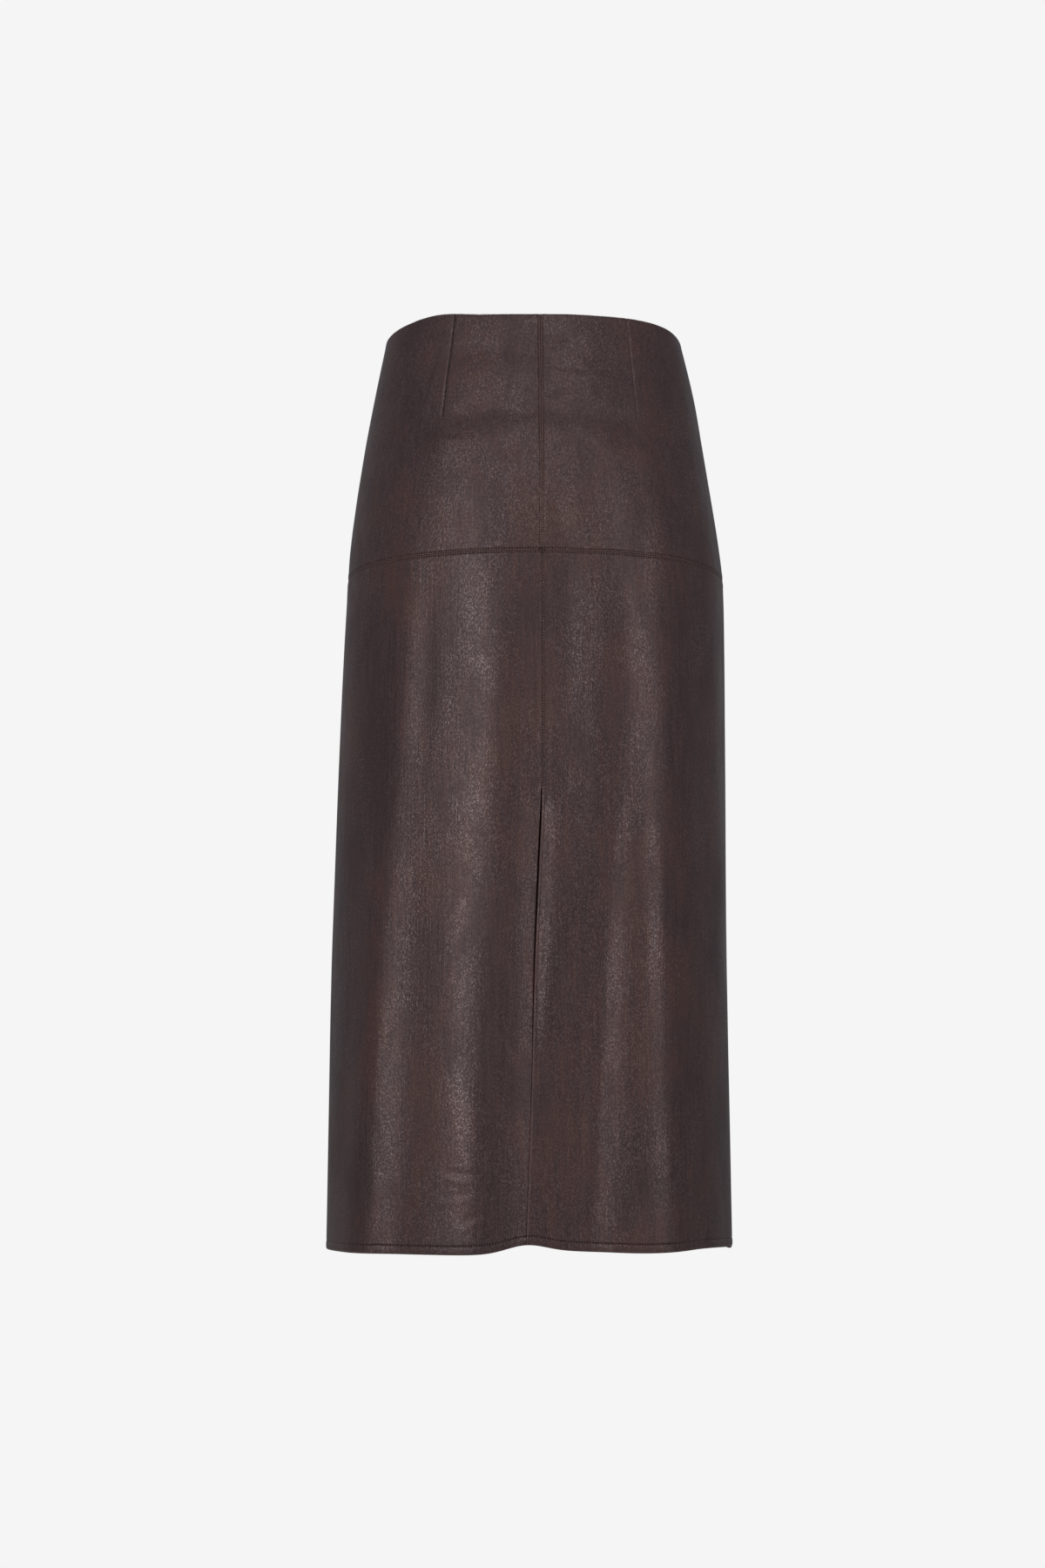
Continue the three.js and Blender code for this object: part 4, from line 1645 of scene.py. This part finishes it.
class Modelling:
    """Short steps of hand modelling that several pieces share."""

    @staticmethod
    def block(name: str, low: Sequence[float], high: Sequence[float]) -> bpy.types.Object:
        """Adds a cube primitive stretched between two corners.

        Args:
            name: the piece's name.
            low: the lower corner, in millimetres.
            high: the upper corner, in millimetres.

        Returns:
            The block, which is selected and active.
        """
        bpy.ops.object.select_all(action="DESELECT")
        middle = [(a + b) / 2 * MM for a, b in zip(low, high)]
        bpy.ops.mesh.primitive_cube_add(size=1.0, location=middle)
        piece = bpy.context.active_object
        piece.name = name
        piece.scale = [(b - a) * MM for a, b in zip(low, high)]
        bpy.ops.object.transform_apply(location=True, rotation=True, scale=True)
        return piece

    @staticmethod
    def activate(piece: bpy.types.Object) -> None:
        """Makes a piece the only selected one.

        Args:
            piece: the piece.
        """
        bpy.ops.object.select_all(action="DESELECT")
        piece.select_set(True)
        bpy.context.view_layer.objects.active = piece

    @staticmethod
    def runs_through(a: Vector, b: Vector) -> bool:
        """Says whether an edge runs through a piece's thickness, from its two ends in millimetres."""
        return abs(a.x - b.x) > 0.5

    @staticmethod
    def bevel_edges(
        piece: bpy.types.Object, chosen: Callable[[Vector, Vector], bool], width: float, segments: int
    ) -> None:
        """Bevels the edges that a test chooses.

        Args:
            piece: the piece, which must be active.
            chosen: says from an edge's two ends, in millimetres, whether it is bevelled.
            width: the bevel's width in millimetres.
            segments: how many faces the bevel has across it.
        """
        bpy.ops.object.mode_set(mode="EDIT")
        bpy.ops.mesh.select_all(action="DESELECT")
        bpy.ops.object.mode_set(mode="OBJECT")
        points = piece.data.vertices
        for edge in piece.data.edges:
            a, b = (points[k].co / MM for k in edge.vertices)
            edge.select = chosen(a, b)
        bpy.ops.object.mode_set(mode="EDIT")
        bpy.ops.mesh.select_mode(type="EDGE")
        bpy.ops.mesh.bevel(offset=width * MM, segments=segments, profile=0.5)
        bpy.ops.object.mode_set(mode="OBJECT")

    @staticmethod
    def soften(piece: bpy.types.Object, width: float) -> None:
        """Rounds all sharp edges a little and shades the piece smooth.

        Args:
            piece: the piece.
            width: the rounding's width in millimetres.
        """
        Modelling.activate(piece)
        bevel = piece.modifiers.new("bevel", "BEVEL")
        bevel.width = width * MM
        bevel.segments = 2
        bevel.limit_method = "ANGLE"
        bevel.angle_limit = math.radians(40)
        bpy.ops.object.modifier_apply(modifier=bevel.name)
        bpy.ops.object.shade_smooth_by_angle(angle=math.radians(50))

    @staticmethod
    def cut_away(piece: bpy.types.Object, cutter: bpy.types.Object) -> None:
        """Cuts one piece out of another.

        Args:
            piece: the piece that is cut.
            cutter: the piece that is cut out of it, and then removed.
        """
        Modelling.activate(piece)
        difference = piece.modifiers.new("cut", "BOOLEAN")
        difference.operation = "DIFFERENCE"
        difference.solver = "EXACT"
        difference.object = cutter
        bpy.ops.object.modifier_apply(modifier=difference.name)
        bpy.data.objects.remove(cutter, do_unlink=True)


@dataclass
class SideZip:
    """The concealed zip: two tapes with coiled teeth behind the left side seam, a slider and its pull tab."""

    form: SkirtForm
    sizes: ZipSizes
    tape: bpy.types.Material
    metal: bpy.types.Material
    details: ZipDetails = ZipDetails()

    def seam_frame(self, drop: np.ndarray, offset: float) -> tuple[np.ndarray, np.ndarray, np.ndarray]:
        """Gives the place and directions beside the left side seam.

        Args:
            drop: the drops.
            offset: the distance round the body from the seam line.

        Returns:
            The points on the leather's face, the outward directions and the directions round the body.
        """
        seam = self.form.line(Line.LEFT_SIDE, drop)
        angle = seam + offset / self.form.per_radian(seam, drop)
        turn = self.form.turn
        step = 2.0
        points = self.form.surface(angle, drop)
        round_body = unit(self.form.surface(angle + turn, drop) - self.form.surface(angle - turn, drop))
        down = self.form.surface(angle, drop + step) - self.form.surface(angle, drop - step)
        return points, unit(np.cross(down, round_body)), round_body

    def build_tape(self, side: int) -> bpy.types.Object:
        """Makes one tape as a thin closed strip with a raised woven selvedge.

        Args:
            side: -1 for the back's tape and 1 for the front's.

        Returns:
            The finished tape.
        """
        z = self.sizes
        weave = WovenProfile()
        drop = np.linspace(z.top, z.top + z.length, weave.rows)
        layers: tuple[list[np.ndarray], list[np.ndarray]] = ([], [])
        for share, raised in zip(weave.shares, weave.raised):
            points, outward, _ = self.seam_frame(drop, -side * (z.half_gap + z.tape_width * share))
            lift = weave.high * raised
            layers[0].append(points - outward * (z.tape_depth + weave.sunk - lift))
            layers[1].append(points - outward * (z.tape_depth + z.tape_thick - weave.sunk + lift))
        outer, inner = (np.stack(layer, axis=1) for layer in layers)
        rows, columns = outer.shape[:2]
        number = np.arange(rows * columns).reshape(rows, columns)
        back = number + rows * columns
        loop = np.concatenate([number, back[:, ::-1], number[:, :1]], axis=1)
        ends = [strip_faces(number[0], back[0]), strip_faces(number[-1], back[-1])[:, ::-1]]
        faces = np.concatenate([grid_faces(loop), *ends])
        if side > 0:
            faces = faces[:, ::-1]
        name = "back" if side < 0 else "front"
        points = np.concatenate([outer.reshape(-1, 3), inner.reshape(-1, 3)])
        piece = make_mesh("woven_tape_" + name, points, faces, [self.tape])
        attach(piece, "skirt")
        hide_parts("zip_tape_" + name)
        return piece

    def tooth(self) -> tuple[np.ndarray, np.ndarray]:
        """Models one turn of the coil: a short bent bar with a swollen head.

        Returns:
            Its points, with the bar along X and the head at X = 0, and its faces.
        """
        z = self.sizes
        d = self.details
        piece = Modelling.block("tooth", (-z.tooth_reach, -z.wire, -z.wire), (d.head, z.wire, z.wire))
        bpy.ops.object.mode_set(mode="EDIT")
        bpy.ops.mesh.select_all(action="SELECT")
        bpy.ops.mesh.subdivide(number_cuts=1)
        bpy.ops.mesh.vertices_smooth(factor=0.6, repeat=1)
        bpy.ops.object.mode_set(mode="OBJECT")
        points = np.array([v.co for v in piece.data.vertices]) / MM
        faces = np.array([list(p.vertices) for p in piece.data.polygons])
        points[:, 1:] *= 1.0 + d.head_swelling * bump((points[:, :1] - d.head_at) / d.head_half_width)
        bpy.data.objects.remove(piece, do_unlink=True)
        return points, faces

    def build_teeth(self) -> bpy.types.Object:
        """Lays the teeth of both tapes, turn by turn, into one joined mesh.

        Returns:
            The finished teeth.
        """
        z = self.sizes
        d = self.details
        first = z.slider_drop + d.teeth_below_slider
        drop = np.arange(first, z.top + z.length - d.teeth_above_end, z.tooth_pitch / 2)
        place, outward, round_body = self.seam_frame(drop, 0.0)
        side = np.where(np.arange(len(drop)) % 2, 1.0, -1.0)[:, None]
        centre = place - outward * (z.tape_depth + z.tape_thick + d.teeth_behind_tape)
        along = round_body * side
        points, faces = repeat_shape(*self.tooth(), centre, (along, outward, np.cross(outward, along)))
        piece = make_mesh("coiled_teeth", points, faces, [self.tape])
        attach(piece, "skirt")
        return piece

    def place(self) -> Matrix:
        """Finds the slider's own frame: X out of the leather, Y round the body and Z up the side.

        Returns:
            The frame, in metres.
        """
        points, outward, round_body = self.seam_frame(np.array([self.sizes.slider_drop]), 0.0)
        x = Vector(outward[0])
        y = Vector(round_body[0])
        turn = Matrix((x, y, x.cross(y))).transposed().to_4x4()
        return Matrix.Translation(Vector(points[0]) * MM) @ turn

    def settle(self, piece: bpy.types.Object, name: str, node: str, body: str) -> bpy.types.Object:
        """Puts a piece modelled at the origin into its place, gives it its name and metal, and hides the solid
        that it stands for.

        Args:
            piece: the piece.
            name: its name.
            node: the solid that it stands for.
            body: the body that it moves with.

        Returns:
            The same piece.
        """
        piece.name = name
        piece.data.name = name
        piece.data.transform(self.place())
        piece.data.materials.clear()
        piece.data.materials.append(self.metal)
        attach(piece, body)
        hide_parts(node)
        return piece

    def build_slider(self) -> bpy.types.Object:
        """Models the slider: a rounded body inside the tapes, a neck and the loop that holds the tab.

        Returns:
            The finished slider.
        """
        z = self.sizes
        d = self.details
        half_wide = z.body_wide / 2
        half_high = z.body_high / 2
        body_in = z.body_out - z.body_deep
        body = Modelling.block("body", (body_in, -half_wide, -half_high), (z.body_out, half_wide, half_high))
        Modelling.bevel_edges(body, Modelling.runs_through, d.body_round, 4)
        plate = d.plate_share * z.body_deep
        groove = Modelling.block(
            "groove",
            (body_in + plate, -half_wide - d.past, -half_high - d.past),
            (z.body_out - plate, half_wide + d.past, half_high + d.past),
        )
        Modelling.cut_away(body, groove)
        Modelling.soften(body, d.soft_body)
        core_half_high = half_high - d.core_short
        core = Modelling.block(
            "core",
            (body_in + d.core_inset, -d.core_half_wide, -core_half_high),
            (z.body_out - d.core_inset, d.core_half_wide, core_half_high),
        )
        Modelling.soften(core, d.soft_body)
        middle = (z.loop_inner + z.loop_outer) / 2
        half_thick = z.loop_thick / 2
        half_neck = z.neck_high / 2
        neck = Modelling.block(
            "neck",
            (z.body_out - d.neck_sunk, -half_thick, -half_neck),
            (z.axis_out - middle + d.neck_into_loop, half_thick, half_neck),
        )
        Modelling.soften(neck, d.soft_small)
        bpy.ops.object.select_all(action="DESELECT")
        bpy.ops.mesh.primitive_torus_add(
            major_segments=32,
            minor_segments=12,
            major_radius=middle * MM,
            minor_radius=(z.loop_outer - z.loop_inner) / 2 * MM,
            rotation=(math.pi / 2, 0, 0),
        )
        loop = bpy.context.active_object
        bpy.ops.object.transform_apply(location=True, rotation=True, scale=True)
        bpy.ops.object.mode_set(mode="EDIT")
        bpy.ops.mesh.select_all(action="SELECT")
        thicker = z.loop_thick / (z.loop_outer - z.loop_inner)
        bpy.ops.transform.resize(value=(1.0, thicker, 1.0), center_override=(0, 0, 0))
        bpy.ops.transform.translate(value=(z.axis_out * MM, 0, 0))
        bpy.ops.object.mode_set(mode="OBJECT")
        bpy.ops.object.shade_smooth()
        Modelling.activate(body)
        for part in (core, neck, loop):
            part.select_set(True)
        bpy.ops.object.join()
        return self.settle(body, "zinc_slider", "zip_slider", "skirt")

    def build_pull(self) -> bpy.types.Object:
        """Models the pull tab: a flat tapered tongue with a round end and a window for the slider's loop.

        Returns:
            The finished tab.
        """
        z = self.sizes
        d = self.details
        half_thick = z.pull_thick / 2
        tab = Modelling.block(
            "tab", (-half_thick, -z.rail_outer, -z.pull_length), (half_thick, z.rail_outer, z.pull_top)
        )
        bpy.ops.object.mode_set(mode="EDIT")
        bpy.ops.mesh.select_all(action="DESELECT")
        bpy.ops.object.mode_set(mode="OBJECT")
        for vertex in tab.data.vertices:
            vertex.select = vertex.co.z < 0
        bpy.ops.object.mode_set(mode="EDIT")
        widen = z.tip_half_width / z.rail_outer
        bpy.ops.transform.resize(value=(1.0, widen, 1.0), center_override=(0, 0, 0))
        bpy.ops.object.mode_set(mode="OBJECT")
        through = Modelling.runs_through
        tip_round = d.tip_round_share * z.tip_half_width
        Modelling.bevel_edges(tab, lambda a, b: through(a, b) and a.z < 0, tip_round, 8)
        Modelling.bevel_edges(tab, lambda a, b: through(a, b) and a.z > 0, d.top_round, 3)
        window = Modelling.block(
            "window", (-d.cutter_out, -z.rail_inner, -z.window_end), (d.cutter_out, z.rail_inner, -z.pull_top)
        )
        middle = -z.window_end / 2
        Modelling.bevel_edges(window, lambda a, b: through(a, b) and a.z < middle, d.window_round, 3)
        Modelling.cut_away(tab, window)
        panel = Modelling.block(
            "panel",
            (half_thick - d.panel_deep, -d.panel_half_wide, d.panel_from_tip - z.pull_length),
            (d.cutter_out, d.panel_half_wide, -z.window_end - d.panel_from_window),
        )
        Modelling.bevel_edges(panel, through, d.panel_round, 5)
        Modelling.cut_away(tab, panel)
        Modelling.soften(tab, d.soft_small)
        lean = Matrix.Rotation(math.radians(z.lean), 4, "Y")
        tab.data.transform(Matrix.Translation((z.axis_out * MM, 0, 0)) @ lean)
        return self.settle(tab, "zinc_pull_tab", "zip_pull", "pull")

    def build(self) -> list[bpy.types.Object]:
        """Builds all the zip's pieces."""
        tapes = [self.build_tape(-1), self.build_tape(1)]
        return [*tapes, self.build_teeth(), self.build_slider(), self.build_pull()]


@dataclass(frozen=True)
class Softbox:
    """A soft light: degrees round from the camera's side, height over the waist and distance in metres, width
    and height in metres, and power in watts."""

    name: str
    azimuth: float
    height: float
    away: float
    size: tuple[float, float]
    power: float


SOFTBOXES = (
    Softbox("left softbox", -30, 0.1, 2.8, (0.8, 2.3), 23.5),
    Softbox("right softbox", 36, 0.1, 2.8, (0.7, 2.3), 15.5),
    Softbox("front top softbox", 4, 1.75, 2.3, (1.6, 0.5), 7),
    Softbox("far top softbox", 180, 3.2, 2.2, (2.4, 1.4), 70),
)


@dataclass
class Studio:
    """A plain pale studio: an even floor and backdrop, tall soft lights at the sides and the camera."""

    axis_right: float = -9.3
    distance: float = 2772.0
    eye_below_top: float = 682.9
    pitch: float = 5.7074
    lens_px: float = 3590.0
    frame_px: float = 1800.0
    sensor: float = 36.0
    floor_below_waist: float = 1050.0
    floor_size: float = 16.0
    aim_height: float = -0.4
    background: str = "#f5f5f5"
    paper: tuple[float, float, float, float] = (0.4, 0.4, 0.4, 1.0)
    fill: tuple[float, float, float, float] = (0.9, 0.93, 1.0, 1.0)
    fill_strength: float = 0.24

    def camera(self) -> None:
        """Stands the camera where the photo was taken, a little above the hem and tipped up a little."""
        data = bpy.data.cameras.new("camera")
        data.sensor_width = self.sensor
        data.lens = self.sensor * self.lens_px / self.frame_px
        data.clip_start = 0.05
        data.clip_end = 50.0
        camera = bpy.data.objects.new("camera", data)
        bpy.context.scene.collection.objects.link(camera)
        height = SkirtForm.top_above_waist - self.eye_below_top
        camera.location = (self.axis_right * MM, -self.distance * MM, height * MM)
        camera.rotation_euler = (math.radians(90 + self.pitch), 0.0, 0.0)
        bpy.context.scene.camera = camera

    def floor(self) -> None:
        """Lays a plain pale floor, as even to the eye as the backdrop."""
        material = bpy.data.materials.new("seamless paper")
        s = Shading(material)
        seen = s.add("ShaderNodeLightPath").outputs["Is Camera Ray"]
        paper = s.add("ShaderNodeBsdfDiffuse", values={"Color": self.paper}).outputs[0]
        glow = s.add("ShaderNodeEmission", values={"Color": linear(self.background)}).outputs[0]
        mixed = s.add("ShaderNodeMixShader", links={0: seen, 1: paper, 2: glow}).outputs[0]
        s.add("ShaderNodeOutputMaterial", links={"Surface": mixed})
        bpy.ops.object.select_all(action="DESELECT")
        bpy.ops.mesh.primitive_plane_add(size=self.floor_size, location=(0, 0, -self.floor_below_waist * MM))
        floor = bpy.context.active_object
        floor.name = "studio_floor"
        bpy.ops.object.transform_apply(location=True, rotation=True, scale=True)
        floor.data.materials.append(material)

    def backdrop(self) -> None:
        """Fills the room with faint cool light, behind a backdrop that is even to the eye."""
        world = bpy.data.worlds.new("studio")
        s = Shading(world)
        seen = s.add("ShaderNodeLightPath").outputs["Is Camera Ray"]
        faint = {"Color": self.fill, "Strength": self.fill_strength}
        fill = s.add("ShaderNodeBackground", values=faint).outputs[0]
        glow = s.add("ShaderNodeBackground", values={"Color": linear(self.background)}).outputs[0]
        mixed = s.add("ShaderNodeMixShader", links={0: seen, 1: fill, 2: glow}).outputs[0]
        s.add("ShaderNodeOutputWorld", links={"Surface": mixed})
        bpy.context.scene.world = world

    def light(self, softbox: Softbox) -> None:
        """Hangs one soft light that faces the skirt.

        Args:
            softbox: the light.
        """
        data = bpy.data.lights.new(softbox.name, "AREA")
        data.shape = "RECTANGLE"
        data.size, data.size_y = softbox.size
        data.energy = softbox.power
        lamp = bpy.data.objects.new(softbox.name, data)
        bpy.context.scene.collection.objects.link(lamp)
        turn = math.radians(softbox.azimuth)
        lamp.location = (softbox.away * math.sin(turn), -softbox.away * math.cos(turn), softbox.height)
        aim = Vector((0.0, 0.0, self.aim_height)) - lamp.location
        lamp.rotation_euler = aim.to_track_quat("-Z", "Y").to_euler()

    def build(self) -> None:
        """Sets up the whole studio."""
        self.camera()
        self.floor()
        self.backdrop()
        for softbox in SOFTBOXES:
            self.light(softbox)
        bpy.context.scene.view_settings.view_transform = "Standard"


def report(piece: bpy.types.Object) -> None:
    """Says that a piece is finished."""
    log.info("%s: %d faces", piece.name, len(piece.data.polygons))


def main() -> None:
    """Builds the skirt's pieces in order, and the studio round them."""
    form = SkirtForm()
    leather = CrackledLeather().material()
    flesh = FleshSide().material()
    thread = SewingThread().material()
    panels: dict[str, LeatherPanel] = {}
    for cut in CUTS:
        panels[cut.node] = LeatherPanel(cut, form)
        report(panels[cut.node].build(leather, flesh))
    sewing = Stitching(panels)
    for name, rows in SEAM_ROWS.items():
        report(sewing.build(rows, name, thread))
    side_zip = SideZip(form, ZipSizes(), WovenTape().material(), LacqueredZinc().material())
    for piece in side_zip.build():
        report(piece)
    Studio().build()


if __name__ == "__main__":
    main()
